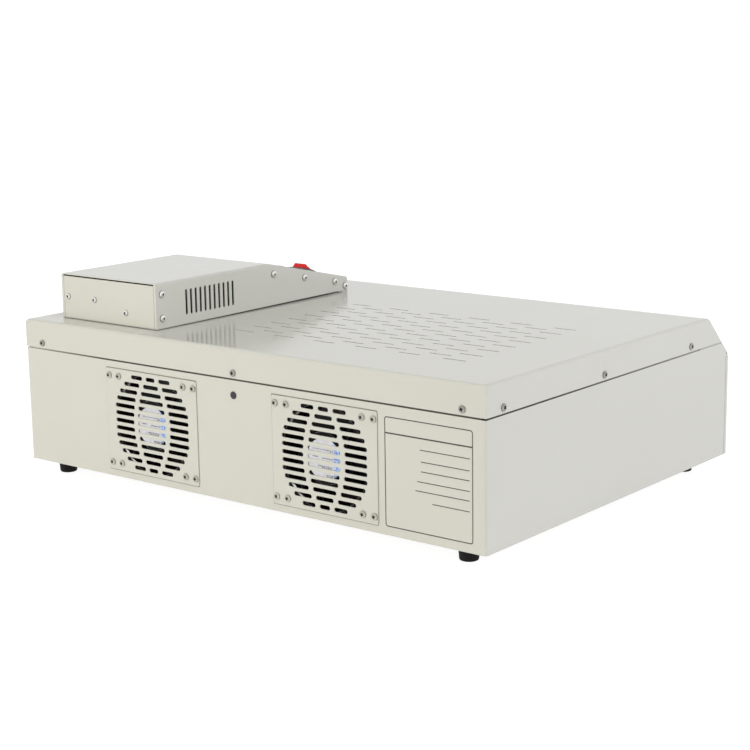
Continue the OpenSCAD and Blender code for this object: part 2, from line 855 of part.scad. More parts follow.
// Fan housing: two square flanges, a duct, corner posts, struts and the fixed hub
module fan_square() {
    linear_extrude(fan_flange) rounded_plate(fan_size, fan_size, fan_corner_r);
}
module fan_corners(d, z0, z1) {
    for (x = [-1, 1], y = [-1, 1])
        rod_z(z0, z1, x * fan_screw_pitch / 2, y * fan_screw_pitch / 2, d);
}
module fan_place(side) {
    // Local Z runs from the outer face of the housing into the case
    translate([fan_at(side), rear_y - rest_gap, fan_z]) rotate([90, 0, 0]) children();
}
module strut(k) {
    reach = sqrt((fan_bore / 2 + fan_wall / 2) ^ 2 - (strut_off + strut_w / 2) ^ 2);
    rotate(strut_lean + k * 360 / strut_n)
        translate([(strut_start + reach) / 2, strut_off, strut_in])
            along_x(reach - strut_start) polygon(smooth([[-strut_w / 2, 0, strut_r],
                [strut_w / 2, 0, strut_r], [strut_w / 2, strut_t], [-strut_w / 2, strut_t]]));
}
module fan_frame(side) {
    color(black) fan_place(side) difference() {
        union() {
            difference() {
                union() {
                    fan_square();
                    translate([0, 0, fan_depth - fan_flange]) fan_square();
                    cylinder(h = fan_depth, d = fan_bore + 2 * fan_wall, $fn = 2 * fine);
                    fan_corners(fan_post_d, 0, fan_depth);
                }
                rod_z(-past, fan_depth + past, 0, 0, fan_bore);
                translate([0, 0, -past])
                    cylinder(h = fan_lip_t + past, $fn = 2 * fine,
                        d1 = fan_bore + 2 * fan_lip * (1 + past / fan_lip_t), d2 = fan_bore);
                fan_corners(screw_d + hole_clear, -past, fan_depth + past);
            }
            for (k = [0:strut_n - 1]) strut(k);
            rod_z(0, fan_hub_t, 0, 0, fan_hub_d);
        }
        rod_z(bearing_floor, fan_depth, 0, 0, fan_shaft_d + 2 * shaft_clear);
    }
}

// Fan blade: sections at growing radius, each a thin cambered foil on its own pitch
function pitch(r) =
    blade_pitch_tip + blade_pitch_more * (blade_r1 - r) / (blade_r1 - blade_r0);
function blade_section(r) =
    let (a = pitch(r), chord = blade_h / sin(a) * blade_chord)
    [for (i = [0:blade_ring - 1])
        let (turn = i * 360 / blade_ring, u = cos(turn) / 2, w = sin(turn) / 2, c = chord * u,
             n = blade_t * w * (1 - blade_thin * u) + blade_camber * (1 - 4 * u * u),
             arc = (c * cos(a) - n * sin(a)) / r * 180 / PI)
        [r * cos(arc), r * sin(arc), c * sin(a) + n * cos(a)]];
module blade() {
    pts = [for (s = [0:blade_steps])
        each blade_section(blade_r0 + (blade_r1 - blade_r0) * s / blade_steps)];
    top = blade_steps * blade_ring;
    faces = concat(
        [[for (i = [0:blade_ring - 1]) i]],
        [for (s = [0:blade_steps - 1], i = [0:blade_ring - 1])
            let (a = s * blade_ring + i, b = s * blade_ring + (i + 1) % blade_ring)
            each [[a, a + blade_ring, b], [b, a + blade_ring, b + blade_ring]]],
        [[for (i = [blade_ring - 1:-1:0]) top + i]]);
    polyhedron(pts, faces);
}
module impeller(side) {
    z0 = fan_hub_t + fan_hub_gap;
    z1 = fan_depth - fan_inner_gap;
    color(black) fan_place(side) {
        rotate_extrude($fn = 2 * fine)
            polygon(smooth([[0, z0], [fan_hub_d / 2, z0], [fan_hub_d / 2, z1, fan_hub_r],
                [0, z1]]));
        rod_z(bearing_floor + shaft_end_gap, (z0 + z1) / 2, 0, 0, fan_shaft_d);
        for (k = [0:blade_n - 1])
            rotate(k * 360 / blade_n) translate([0, 0, (z0 + z1) / 2 - 1]) blade();
    }
}

// Plastic plug that closes a hole in the rear wall
module rear_plug() {
    r = plug_d / 2;
    color([0.12, 0.13, 0.2]) translate([middle_x, rear_y, plug_z]) rotate([-90, 0, 0])
        rotate_extrude($fn = fine)
            polygon(smooth([[0, -plug_grip], [r - plug_play, -plug_grip], [r - plug_play, 0],
                [r + plug_rim, 0], [r + plug_rim, plug_rim, plug_rim / 2], [0, plug_rim]]));
}

// Stainless oven chamber, open to the front, on two floor rails
module oven_chamber() {
    x = chamber_w / 2;
    rail = foot_rail_w / 2;
    low = sheet_t + rest_gap + chamber_t;
    color(steel) difference() {
        union() {
            difference() {
                block([-x, chamber_y0, chamber_z], [x, chamber_y1, chamber_top]);
                block([-x + chamber_t, chamber_y0 - past, chamber_z + chamber_t],
                      [x - chamber_t, chamber_y1 - chamber_t, chamber_top - chamber_t]);
            }
            for (y = [chamber_y0 + chamber_foot_in, chamber_y1 - chamber_foot_in])
                translate([0, y, 0]) along_x(chamber_w - 2 * chamber_foot_side)
                    sheet_outline([[-2 * rail, low], [-rail, low], [-rail, chamber_z],
                        [rail, chamber_z], [rail, low], [2 * rail, low]], -chamber_t);
        }
        for (f = [-1, 1])
            rod_y(chamber_y1 - 2 * chamber_t, chamber_y1 + past, fan_at(f), fan_z, exhaust_d);
        for (x = probe_x)
            rod_y(chamber_y1 - 2 * chamber_t, chamber_y1 + past, x, probe_z,
                probe_d + probe_play);
    }
}

// Mineral-wool blanket over the top and down both sides of the chamber
module insulation() {
    x0 = chamber_w / 2;
    x1 = half_w - 2 * sheet_t - insulation_gap;
    z1 = chamber_top + insulation_t;
    color([0.85, 0.8, 0.62]) along_y(front_y + insulation_front, chamber_y1)
        polygon([[-x1, chamber_z], [-x0, chamber_z], [-x0, chamber_top], [x0, chamber_top],
            [x0, chamber_z], [x1, chamber_z], [x1, z1], [-x1, z1]]);
}

// Bright reflector with one trough above each heater tube
module reflector() {
    top = chamber_top - chamber_t;
    low = top - trough_drop;
    half = heater_pitch / 2;
    flat = half * trough_flat;
    path = [for (y = heater_y) each
        [[y - half, low], [y - flat, top], [y + flat, top], [y + half, low]]];
    joined = [for (i = [0:len(path) - 1]) if (i == 0 || i % 4 != 0) path[i]];
    color([0.9, 0.9, 0.9]) along_x(2 * (bracket_x - reflector_gap))
        sheet_outline(joined, -reflector_t);
}

// Quartz heater tubes with their filaments, ceramic caps and brackets
module heater_tubes() {
    x = heater_l / 2;
    color([0.9, 0.92, 0.95, 0.6]) for (y = heater_y) difference() {
        rod_x(-x, x, y, heater_z, heater_d);
        rod_x(-x - past, x + past, y, heater_z, heater_d - 2 * heater_wall);
    }
}
module heater_filaments() {
    color([0.6, 0.35, 0.2]) for (y = heater_y)
        rod_x(-heater_l / 2, heater_l / 2, y, heater_z, filament_d);
}
module heater_caps() {
    x0 = heater_l / 2 - cap_grip;
    color([0.93, 0.91, 0.85]) for (s = [-1, 1], y = heater_y)
        translate([0, y, heater_z]) rotate([0, s * 90, 0]) difference() {
            union() {
                rod_z(x0, x0 + cap_l, 0, 0, cap_d);
                rod_z(bracket_x - cap_flange_t, bracket_x, 0, 0, cap_d + 2 * cap_flange);
            }
            rod_z(x0 - past, heater_l / 2, 0, 0, heater_d + 2 * cap_play);
        }
}
module heater_brackets() {
    z0 = heater_z - bracket_drop;
    z1 = chamber_top - chamber_t;
    y0 = heater_y[0] - bracket_end;
    y1 = heater_y[heater_n - 1] + bracket_end;
    color(steel) for (s = [-1, 1]) mirror([s < 0 ? 1 : 0, 0, 0]) difference() {
        along_y(y0, y1) sheet_outline([[bracket_x, z0], [bracket_x, z1, 2 * bracket_t],
            [bracket_x + bracket_foot, z1]], -bracket_t);
        for (y = heater_y)
            rod_x(bracket_x - past, bracket_x + 2 * bracket_t, y, heater_z,
                cap_d + 2 * cap_play);
    }
}

// Two sheathed temperature probes through the chamber's rear wall
module thermocouples() {
    color([0.65, 0.66, 0.68]) for (x = probe_x) {
        rod_y(chamber_y1 - probe_l, chamber_y1 + probe_tail, x, probe_z, probe_d);
        for (y = [chamber_y1 - chamber_t, chamber_y1 + probe_nut_h])
            translate([x, y, probe_z]) rotate([90, 0, 0])
                cylinder(h = probe_nut_h, d = probe_nut_d, $fn = 6);
    }
}

// Drawer rails fixed to the chamber's side walls, and the runners that slide in them
module drawer_rails() {
    x = chamber_in_w / 2;
    h = rail_h / 2;
    color(zinc) for (s = [-1, 1]) mirror([s < 0 ? 1 : 0, 0, 0])
        along_y(liner_y + rail_start, chamber_y1 - rail_stop)
            sheet_outline([[x - rail_d, rail_z - h], [x, rail_z - h, rail_bend_r],
                [x, rail_z + h, rail_bend_r], [x - rail_d, rail_z + h]], rail_t);
}
module drawer_runners() {
    x0 = tray_w / 2;
    x1 = chamber_in_w / 2 - rail_t - runner_gap;
    h = rail_h / 2 - rail_t - runner_gap;
    color(zinc) for (s = [-1, 1]) mirror([s < 0 ? 1 : 0, 0, 0])
        along_y(tray_y0, tray_y1)
            sheet_outline([[x1, rail_z + h], [x0, rail_z + h, rail_bend_r],
                [x0, rail_z - h, rail_bend_r], [x1, rail_z - h]], rail_t);
}

// Drawer front: a shallow pan with a window opening
module drawer_front() {
    color(cream) difference() {
        block([-half_w, nose_y, front_z], [half_w, nose_y + front_t, front_z1]);
        block([-half_w + sheet_t, face_back, front_z + sheet_t],
              [half_w - sheet_t, nose_y + front_t + past, front_z1 - sheet_t]);
        window_pane(0, nose_y - past, face_back + past);
        for (s = [-1, 1])
            rod_y(nose_y - past, face_back + past, s * handle_pitch / 2, handle_z,
                screw_d + hole_clear);
    }
}
module drawer_liner() {
    x = chamber_in_w / 2 - liner_edge;
    z0 = chamber_z + chamber_t + liner_edge;
    z1 = chamber_top - chamber_t - liner_edge;
    wx = window_w / 2 + glass_edge + liner_window_x;
    wz = window_h / 2 + liner_window_z;
    color(steel) difference() {
        block([-x, face_back, z0], [x, liner_y, z1]);
        block([-x + chamber_t, face_back - past, z0 + chamber_t],
              [x - chamber_t, liner_y - chamber_t, z1 - chamber_t]);
        block([-wx, face_back, window_z - wz], [wx, liner_y + past, window_z + wz]);
    }
}
module window_pane(edge, y0, y1) {
    block([-window_w / 2 - edge, y0, window_z - window_h / 2 - edge],
          [window_w / 2 + edge, y1, window_z + window_h / 2 + edge]);
}
module window_glass() {
    color([0.35, 0.4, 0.45, 0.5]) window_pane(glass_edge, face_back, face_back + glass_t);
}
module window_frame() {
    y0 = face_back + glass_t;
    color(steel) difference() {
        window_pane(glass_edge, y0, y0 + window_trim_t);
        window_pane(0, y0 - past, y0 + window_trim_t + past);
    }
}
module front_seal() {
    x = chamber_in_w / 2 + seal_x;
    z0 = chamber_z + chamber_t - seal_low;
    z1 = chamber_top - chamber_t + seal_high;
    y1 = front_y - fit;
    color([0.75, 0.3, 0.2]) difference() {
        block([-x - seal_w, face_back, z0 - seal_h], [x + seal_w, y1, z1 + seal_h]);
        block([-x, face_back - past, z0], [x, y1 + past, z1]);
    }
}

// Bow handle: two posts, two elbows and the bar between them
module drawer_handle() {
    r = handle_bend_r;
    y = nose_y - handle_out + handle_d / 2;
    x = handle_pitch / 2;
    color(black) {
        rod_x(-x + r, x - r, y, handle_z, handle_d);
        for (s = [-1, 1]) mirror([s < 0 ? 1 : 0, 0, 0]) {
            translate([x - r, y + r, handle_z]) rotate([0, 0, -90])
                rotate_extrude(angle = 90, $fn = fine)
                    translate([r, 0]) circle(d = handle_d, $fn = 32);
            difference() {
                union() {
                    rod_y(y + r, nose_y, x, handle_z, handle_d);
                    rod_y(nose_y - handle_foot_t, nose_y, x, handle_z,
                        handle_d + 2 * handle_foot);
                }
                rod_y(nose_y - handle_bore, nose_y + past, x, handle_z, screw_d);
            }
        }
    }
}
module handle_screws() {
    color(zinc) for (s = [-1, 1])
        translate([s * handle_pitch / 2, face_back, handle_z])
            rotate([-90, 0, 0]) screw(handle_screw_l, d = screw_d - handle_screw_play);
}

// Tray: two sides, two ends and an inner ledge that carries the wire mesh
module tray_sides() {
    x = tray_w / 2;
    color(steel) for (s = [-1, 1]) translate([s * (x - tray_t / 2), 0, 0])
        block([-tray_t / 2, tray_y0, tray_z], [tray_t / 2, tray_y1, tray_z + tray_h]);
}
module tray_ends() {
    x = tray_w / 2 - tray_t;
    color(steel) for (y = [tray_y0, tray_y1 - tray_t])
        block([-x, y, tray_z], [x, y + tray_t, tray_z + tray_h]);
}
module tray_ledge() {
    x = tray_w / 2;
    color(steel) difference() {
        block([-x + tray_t, tray_y0 + tray_t, tray_z],
              [x - tray_t, tray_y1 - tray_t, tray_z + tray_t]);
        block([-x + tray_lip, tray_y0 + tray_lip, tray_z - past],
              [x - tray_lip, tray_y1 - tray_lip, tray_z + tray_h]);
    }
}
module tray_mesh() {
    x = tray_w / 2 - tray_t - wire_play;
    y0 = tray_y0 + tray_t + wire_play;
    y1 = tray_y1 - tray_t - wire_play;
    across = floor((x - tray_lip) / mesh_pitch);
    along = floor((y1 - y0) / 2 / (2 * mesh_pitch));
    mid = (y0 + y1) / 2;
    color(zinc) {
        for (k = [-along:along])
            rod_x(-x, x, mid + k * 2 * mesh_pitch, mesh_z, wire_d);
        for (k = [-across:across])
            rod_y(y0, y1, k * mesh_pitch, mesh_z + wire_d + wire_step, wire_d);
    }
}

// Four-way ceramic terminal block on the floor of the rear bay
module terminal_block() {
    base = terminal_base / 2;
    pole = terminal_pole / 2;
    top = terminal_base[2] + terminal_pole[2];
    translate([terminal_x, rear_y - rear_bay / 2, sheet_t]) color([0.9, 0.88, 0.82]) {
        block([-base[0], -base[1], 0], [base[0], base[1], terminal_base[2]]);
        for (k = [-1.5:1.5]) difference() {
            block([k * terminal_pitch - pole[0], -pole[1], terminal_base[2]],
                  [k * terminal_pitch + pole[0], pole[1], top]);
            for (s = [-1, 1])
                rod_z(top - terminal_hole[1], top + past, k * terminal_pitch,
                    s * terminal_hole[2], terminal_hole[0]);
        }
    }
}

// Mains inlet: a flange with a socket well, three flat pins and rear tabs
module mains_inlet() {
    x0 = half_w - inlet_depth;
    x1 = half_w + screw_head_h;
    y = inlet_body_w / 2;
    z = inlet_body_h / 2;
    translate([0, inlet_y, inlet_z]) {
        color(black) difference() {
            union() {
                translate([(half_w + x1) / 2, 0, 0]) along_x(x1 - half_w)
                    rounded_plate(inlet_w, inlet_h, inlet_corner_r);
                block([x0, -y, -z], [half_w, y, z]);
            }
            block([x0 + inlet_floor, -y + inlet_wall, -z + inlet_wall],
                  [x1 + past, y - inlet_wall, z - inlet_wall]);
            for (s = [-1, 1]) translate([x1, s * inlet_pitch / 2, 0]) rotate([0, 90, 0])
                countersunk(x1 - half_w + past);
        }
        color(steel) for (p = inlet_pin_at)
            block([x0 - inlet_pin_tail, p[0] - inlet_pin[0] / 2, p[1] - inlet_pin[1] / 2],
                  [half_w - inlet_pin_in, p[0] + inlet_pin[0] / 2, p[1] + inlet_pin[1] / 2]);
    }
}

// Rubber feet, each held by a screw from inside the case
foot_at = [for (y = [front_y + foot_front_in, rear_y - foot_rear_in], s = [-1, 1])
    [s * (half_w - (y < 0 ? foot_front_side : foot_rear_side)), y]];
module foot_places() {
    for (p = foot_at) translate([p[0], p[1], 0]) children();
}
module foot(k) {
    bore = screw_d / 2 + foot_play;
    cup = bore + foot_cup_w;
    color(black) translate([foot_at[k][0], foot_at[k][1], -foot_h]) rotate_extrude($fn = 64)
        polygon(smooth([[bore, foot_cup_h], [cup, foot_cup_h], [cup, 0],
            [foot_base_d / 2, 0, foot_edge_r], [foot_d / 2, foot_h], [bore, foot_h]]));
}

// Screws of the feet, of the mains inlet and of the control box's spacers
module inner_screws() {
    color(zinc) {
        foot_places() translate([0, 0, sheet_t]) screw(foot_screw_l, head_h = foot_screw_h);
        for (s = [-1, 1])
            translate([half_w + screw_head_h, inlet_y + s * inlet_pitch / 2, inlet_z])
                rotate([0, 90, 0]) countersunk(inlet_screw_l);
        in_box() for (p = spacer_at) translate([p[0], p[1], tray_lift + sheet_t])
            screw(box_screw_l + box_gap + tray_lift);
    }
}

// Control box: places on it are given from the middle of its rear bottom edge
module in_box() {
    translate([box_x, box_rear, box_z]) children();
}
module on_slope(x = 0, s = 0) {
    in_box() translate([0, -box_flat_l, box_h]) rotate([slope_a, 0, 0])
        translate([x, -s, 0]) children();
}
module cable_grommet() {
    r0 = cable_d / 2 - grommet_wall;
    r1 = cable_d / 2 - grommet_play;
    r2 = cable_d / 2 + grommet_rim;
    low = -box_gap - sheet_t - grommet_tail;
    top = tray_lift + sheet_t;
    color(black) in_box() translate([cable_x, cable_y, 0]) rotate_extrude($fn = fine)
        polygon([[r0, low], [r1, low], [r1, top], [r2, top],
            [r2, top + grommet_rim_t], [r0, top + grommet_rim_t]]);
}
module box_spacers() {
    color(zinc) in_box() for (p = spacer_at) difference() {
        rod_z(-box_gap, tray_lift, p[0], p[1], spacer_d);
        rod_z(-box_gap - past, tray_lift + past, p[0], p[1], screw_d + hole_clear);
    }
}

// Tray of the control box: raised bottom, rear plate, side flanges and front lip
module box_tray() {
    x = box_in_w / 2 - fit;
    rear_x = box_w / 2 - box_lip - fit;
    y0 = -box_l + sheet_t + 2 * fit;
    y1 = -sheet_t - fit;
    low = tray_lift;
    top = low + sheet_t;
    color(cream) in_box() difference() {
        union() {
            block([-x, y0, low], [x, y1, top]);
            block([-rear_x, -sheet_t, 0], [rear_x, 0, box_h - sheet_t - box_top_gap]);
            block([-rear_x, -2 * sheet_t, low], [rear_x, -sheet_t, top]);
            block([-x + front_tab_l, y0, low], [x - front_tab_l, y0 + sheet_t, front_tab_h]);
            for (s = [-1, 1]) mirror([s < 0 ? 1 : 0, 0, 0]) {
                translate([x - sheet_t / 2, 0, 0]) along_x(sheet_t) polygon([[y0, low],
                    [y1, low], [y1, flange_tab_h], [-flange_tab_l, flange_tab_h],
                    [-flange_tab_l, flange_h], [flange_drop[0] - box_l, flange_h],
                    [flange_drop[1] - box_l, flange_low_h], [y0 + front_tab_l, flange_low_h],
                    [y0 + front_tab_l, front_tab_h], [y0, front_tab_h]]);
                block([rear_x - rear_corner_w, -2 * sheet_t, low], [x, -sheet_t, flange_tab_h]);
            }
        }
        rod_z(-past, low + 2 * sheet_t, cable_x, cable_y, cable_d);
        for (p = spacer_at)
            rod_z(-past, low + 2 * sheet_t, p[0], p[1], screw_d + hole_clear);
        for (s = [-1, 1], p = box_side_screws) translate([s * (x - sheet_t / 2), 0, 0])
            rod_x(-sheet_t, sheet_t, p[0], p[1], screw_d + hole_clear);
        for (p = box_rear_screws)
            screw_hole(-3 * sheet_t, past, p[0], p[1]);
    }
}

// Cover of the control box: flat top and two wedge-shaped sides with louvres. Their lower
// edges rise toward the front and end in a small foot
module box_cover() {
    x = box_w / 2;
    color(cream) in_box() difference() {
        intersection() {
            union() {
                difference() {
                    along_y(-box_l, 0) polygon(smooth([[-x, 0], [x, 0], [x, box_h, box_r],
                        [-x, box_h, box_r]]));
                    along_y(-box_l - past, past) polygon(smooth([[-x + sheet_t, -past],
                        [x - sheet_t, -past], [x - sheet_t, box_h - sheet_t, box_r - sheet_t],
                        [-x + sheet_t, box_h - sheet_t, box_r - sheet_t]]));
                }
                for (s = [-1, 1]) translate([s * (x - box_lip / 2), 0, 0])
                    block([-box_lip / 2, -sheet_t, 0], [box_lip / 2, 0, box_h - sheet_t]);
            }
            along_x(box_w) polygon(smooth([[-box_l, 0], [-box_l + cover_foot_l, 0],
                [-box_l + cover_foot_l, cover_cut], [0, 0], [0, box_h],
                [-box_flat_l, box_h], [-box_l, box_front_h, cover_nose_r]]));
        }
        block([-x + sheet_t, -box_l - past, -past],
              [x - sheet_t, -box_flat_l, box_h + past]);
        for (y = louvre_y) translate([0, y, louvre_z]) along_x(box_w + 2 * past)
            rotate(90) slot(louvre_h, louvre_w);
        for (p = box_side_screws)
            rod_x(-box_w, box_w, p[0], p[1], screw_d + hole_clear);
        slope_screw_places() rod_x(-box_w, box_w, 0, 0, screw_d + hole_clear);
    }
}
module slope_screw_places() {
    for (p = slope_screws)
        translate([0, -box_flat_l - p[0] * cos(slope_a), box_h - p[0] * sin(slope_a) - p[1]])
            children();
}
module box_screws() {
    color(zinc) in_box() {
        for (s = [-1, 1]) {
            for (p = box_side_screws) translate([s * box_w / 2, p[0], p[1]])
                rotate([0, s * 90, 0]) screw(box_screw_l, box_screw_d, box_screw_side_h);
            slope_screw_places() translate([s * box_w / 2, 0, 0])
                rotate([0, s * 90, 0]) screw(box_screw_l, box_screw_d, box_screw_side_h);
        }
        for (p = box_rear_screws) translate([p[0], 0, p[1]])
            rotate([-90, 0, 0]) screw(box_screw_l, box_rear_screw_d, box_screw_rear_h);
    }
}

// Sloping control panel: ledge below the cover's top, slope, and apron at the front
module control_panel() {
    x = box_in_w / 2 - fit;
    y1 = -box_l + fit;
    rise = tan(slope_a);
    step = box_h - sheet_t;
    front_top = box_h - (slope_run - fit) * rise;
    back = -box_flat_l - panel_flange_y[0];
    back_top = box_h - panel_flange_y[0] * rise;
    color(cream) difference() {
        union() {
            in_box() along_x(2 * x) sheet_outline([[-box_flat_l + panel_ledge, step],
                [-box_flat_l - sheet_t / rise, step], [y1, front_top, panel_bend_r],
                [y1, sheet_t + fit]], sheet_t);
            in_box() for (s = [-1, 1]) translate([s * (x - sheet_t / 2), 0, 0])
                along_x(sheet_t) polygon([
                    [back, back_top - sheet_t], [back, back_top - panel_flange_h],
                    [y1 + panel_flange_y[1],
                     front_top + panel_flange_y[1] * rise - panel_flange_z[0]],
                    [y1 + panel_flange_y[2], front_top - panel_flange_z[1]],
                    [y1 + panel_flange_y[2], front_top + panel_flange_y[2] * rise - sheet_t]]);
        }
        on_slope(0, display_s) translate([0, 0, -panel_cut])
            linear_extrude(2 * panel_cut) square([display_w, display_h], center = true);
        for (x = key_at) on_slope(x, key_s)
            rod_z(-panel_cut, panel_cut, 0, 0, key_d + 2 * key_clear);
        on_slope(rocker_x, rocker_s) translate([0, 0, -panel_cut])
            linear_extrude(2 * panel_cut) square([housing_w, housing_l], center = true);
        in_box() slope_screw_places() rod_x(-box_w, box_w, 0, 0, screw_d + hole_clear);
    }
}
// Lens of the display: its front fills the opening, its edge lies behind the panel
module display_window() {
    x = display_w / 2;
    y = display_h / 2;
    e = window_edge;
    low = -sheet_t - fit;
    color([0.1, 0.14, 0.2]) on_slope(0, display_s) {
        block([-x - e, -y - e, low - window_back_t], [x + e, y + e, low]);
        block([-x + fit, -y + fit, low], [x - fit, y - fit, -window_sunk]);
    }
}
module display_module() {
    x = display_w / 2;
    y = display_h / 2;
    top = -sheet_t - fit - window_back_t - module_lens_gap;
    low = top - module_bezel_t;
    color([0.2, 0.35, 0.25]) on_slope(0, display_s) {
        block([-x + fit, -y + fit, low], [x - fit, y - fit, top]);
        block([-x - module_edge[0], -y - module_edge[1], -display_depth],
              [x + module_edge[0], y + module_edge[1], low]);
        for (s = [-1, 1]) translate([s * (x + module_edge[0] - module_clip[0]), 0, 0])
            block([-module_clip[0], -module_clip[1], low],
                  [module_clip[0], module_clip[1], -sheet_t]);
    }
}

// Keys, the board with their switches, and the rocker in its housing
module key(k) {
    low = -key_board_gap + key_switch_h + key_travel + key_play;
    high = -sheet_t - key_play;
    r = key_d / 2;
    color([0.16, 0.2, 0.32]) on_slope(key_at[k], key_s) rotate_extrude($fn = fine)
        polygon(smooth([[0, low], [r + key_rim, low], [r + key_rim, high], [r, high],
            [r, key_out, 1], [0, key_out]]));
}
module key_board() {
    x0 = key_at[0] - key_board_end[0];
    x1 = key_at[4] + key_board_end[1];
    y = key_board_w / 2;
    z = -key_board_gap;
    color([0.12, 0.35, 0.2]) on_slope(0, key_s) {
        block([x0, -y, z - key_board_t], [x1, y, z]);
        for (x = [x0 + key_post[0], x1 - key_post[0]])
            rod_z(z, -sheet_t, x, -key_post[1], key_post[2]);
    }
    color(black) for (x = key_at) on_slope(x, key_s) translate([0, 0, z])
        linear_extrude(key_switch_h) square(key_switch, center = true);
}
module rocker_housing() {
    hw = housing_w / 2;
    hl = housing_l / 2;
    in_w = hw - rocker_wall;
    in_l = hl - rocker_wall;
    rim_w = hw + bezel_edge;
    rim_l = hl + bezel_edge;
    top_w = in_w + bezel_lip;
    top_l = in_l + bezel_lip;
    color(black) on_slope(rocker_x, rocker_s) difference() {
        union() {
            block([-hw + housing_play, -hl + housing_play, -housing_h],
                  [hw - housing_play, hl - housing_play, 0]);
            intersection() {
                along_x(2 * rim_w) polygon([[-rim_l, 0], [rim_l, 0], [rim_l, bezel_edge_t],
                    [top_l, bezel_t], [-top_l, bezel_t], [-rim_l, bezel_edge_t]]);
                along_y(-rim_l, rim_l) polygon([[-rim_w, 0], [rim_w, 0],
                    [rim_w, bezel_edge_t], [top_w, bezel_t], [-top_w, bezel_t],
                    [-rim_w, bezel_edge_t]]);
            }
        }
        block([-in_w, -in_l, -housing_h + housing_floor], [in_w, in_l, bezel_t + past]);
        rod_x(-hw + rocker_wall / 3, hw - rocker_wall / 3, 0, rocker_pivot_h,
            pivot_d + 2 * shaft_clear);
    }
}
module rocker() {
    w = rocker_w / 2;
    l = rocker_l / 2;
    top_l = l - rocker_taper;
    low_l = l - rocker_low_in;
    pin = w + key_clear + rocker_wall - pivot_end;
    color([0.85, 0.1, 0.08]) on_slope(rocker_x, rocker_s) translate([0, 0, rocker_pivot_h])
        rotate([rocker_tilt, 0, 0]) {
            intersection() {
                along_x(rocker_w) polygon(smooth([[-low_l, -rocker_low],
                    [-rocker_toe[0], -rocker_toe[1], 1], [rocker_toe[0], -rocker_toe[1], 1],
                    [low_l, -rocker_low], [top_l, rocker_rise, 1],
                    [0, rocker_rise - rocker_dip, 20], [-top_l, rocker_rise, 1]]));
                along_y(-rocker_l, rocker_l) polygon(smooth([[-w, -2 * rocker_toe[1]],
                    [w, -2 * rocker_toe[1]], [w, rocker_rise + 0.2, 1],
                    [-w, rocker_rise + 0.2, 1]]));
            }
            rod_x(-pin, pin, 0, 0, pivot_d);
        }
}

// Controller and power parts on the tray of the box
module power_board() {
    half = board_size / 2;
    floor_z = tray_lift + sheet_t;
    z0 = floor_z + board_post[2];
    z1 = z0 + board_size[2];
    in_box() translate([board_at[0], board_at[1], 0]) {
        color([0.12, 0.35, 0.2]) {
            block([-half[0], -half[1], z0], [half[0], half[1], z1]);
            for (x = [-1, 1], y = [-1, 1])
                rod_z(floor_z, z0, x * (half[0] - board_post[1]), y * (half[1] - board_post[1]),
                    board_post[0]);
        }
        color([0.2, 0.2, 0.22]) {
            block([board_core[0], 0, z1], [board_core[2], board_core[3], z1 + board_core[4]]);
            for (y = board_cans)
                rod_z(z1, z1 + board_can_size[2], board_can_size[0], y, board_can_size[1]);
            block([board_chip[0], board_chip[1], z1],
                  [board_chip[2], board_chip[3], z1 + board_chip[4]]);
        }
    }
}
module relays() {
    half = relay_size / 2;
    floor_z = tray_lift + sheet_t;
    top = floor_z + relay_size[2];
    color([0.15, 0.15, 0.16]) in_box() for (p = relay_at) translate([p[0], p[1], 0])
        difference() {
            block([-half[0], -half[1], floor_z], [half[0], half[1], top]);
            for (y = [-1, 1])
                rod_z(top - relay_hole[2], top + past, 0, y * relay_hole[0], relay_hole[1]);
        }
}

placed() body_shell();
placed() floor_pan();
placed() front_frame();
placed() lid();
placed() lid_screws();
placed() grille(-1);  // grille_left
placed() grille(1);  // grille_right
placed() grille_screws();
placed() fan_screws();
placed() fan_frame(-1);  // fan_frame_left
placed() fan_frame(1);  // fan_frame_right
placed() rear_plug();
placed() oven_chamber();
placed() insulation();
placed() reflector();
placed() heater_tubes();
placed() heater_filaments();
placed() heater_caps();
placed() heater_brackets();
placed() thermocouples();
placed() drawer_rails();
placed() terminal_block();
placed() mains_inlet();
placed() foot(0);  // foot_front_left
placed() foot(1);  // foot_front_right
placed() foot(2);  // foot_rear_left
placed() foot(3);  // foot_rear_right
placed() cable_grommet();
placed() box_spacers();
placed() inner_screws();
placed() box_tray();
placed() box_cover();
placed() box_screws();
placed() control_panel();
placed() display_window();
placed() display_module();
placed() key_board();
placed() power_board();
placed() relays();
placed() rocker_housing();
placed() drawer_front();
placed() drawer_liner();
placed() window_glass();
placed() window_frame();
placed() front_seal();
placed() drawer_handle();
placed() handle_screws();
placed() tray_sides();
placed() tray_ends();
placed() tray_ledge();
placed() tray_mesh();
placed() drawer_runners();
placed() impeller(-1);  // impeller_left
placed() impeller(1);  // impeller_right
placed() rocker();
placed() key(0);  // key_1
placed() key(1);  // key_2
placed() key(2);  // key_3
placed() key(3);  // key_4
placed() key(4);  // key_5
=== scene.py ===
import json
import math
import random

import bmesh
import bpy
from mathutils import Matrix, Vector


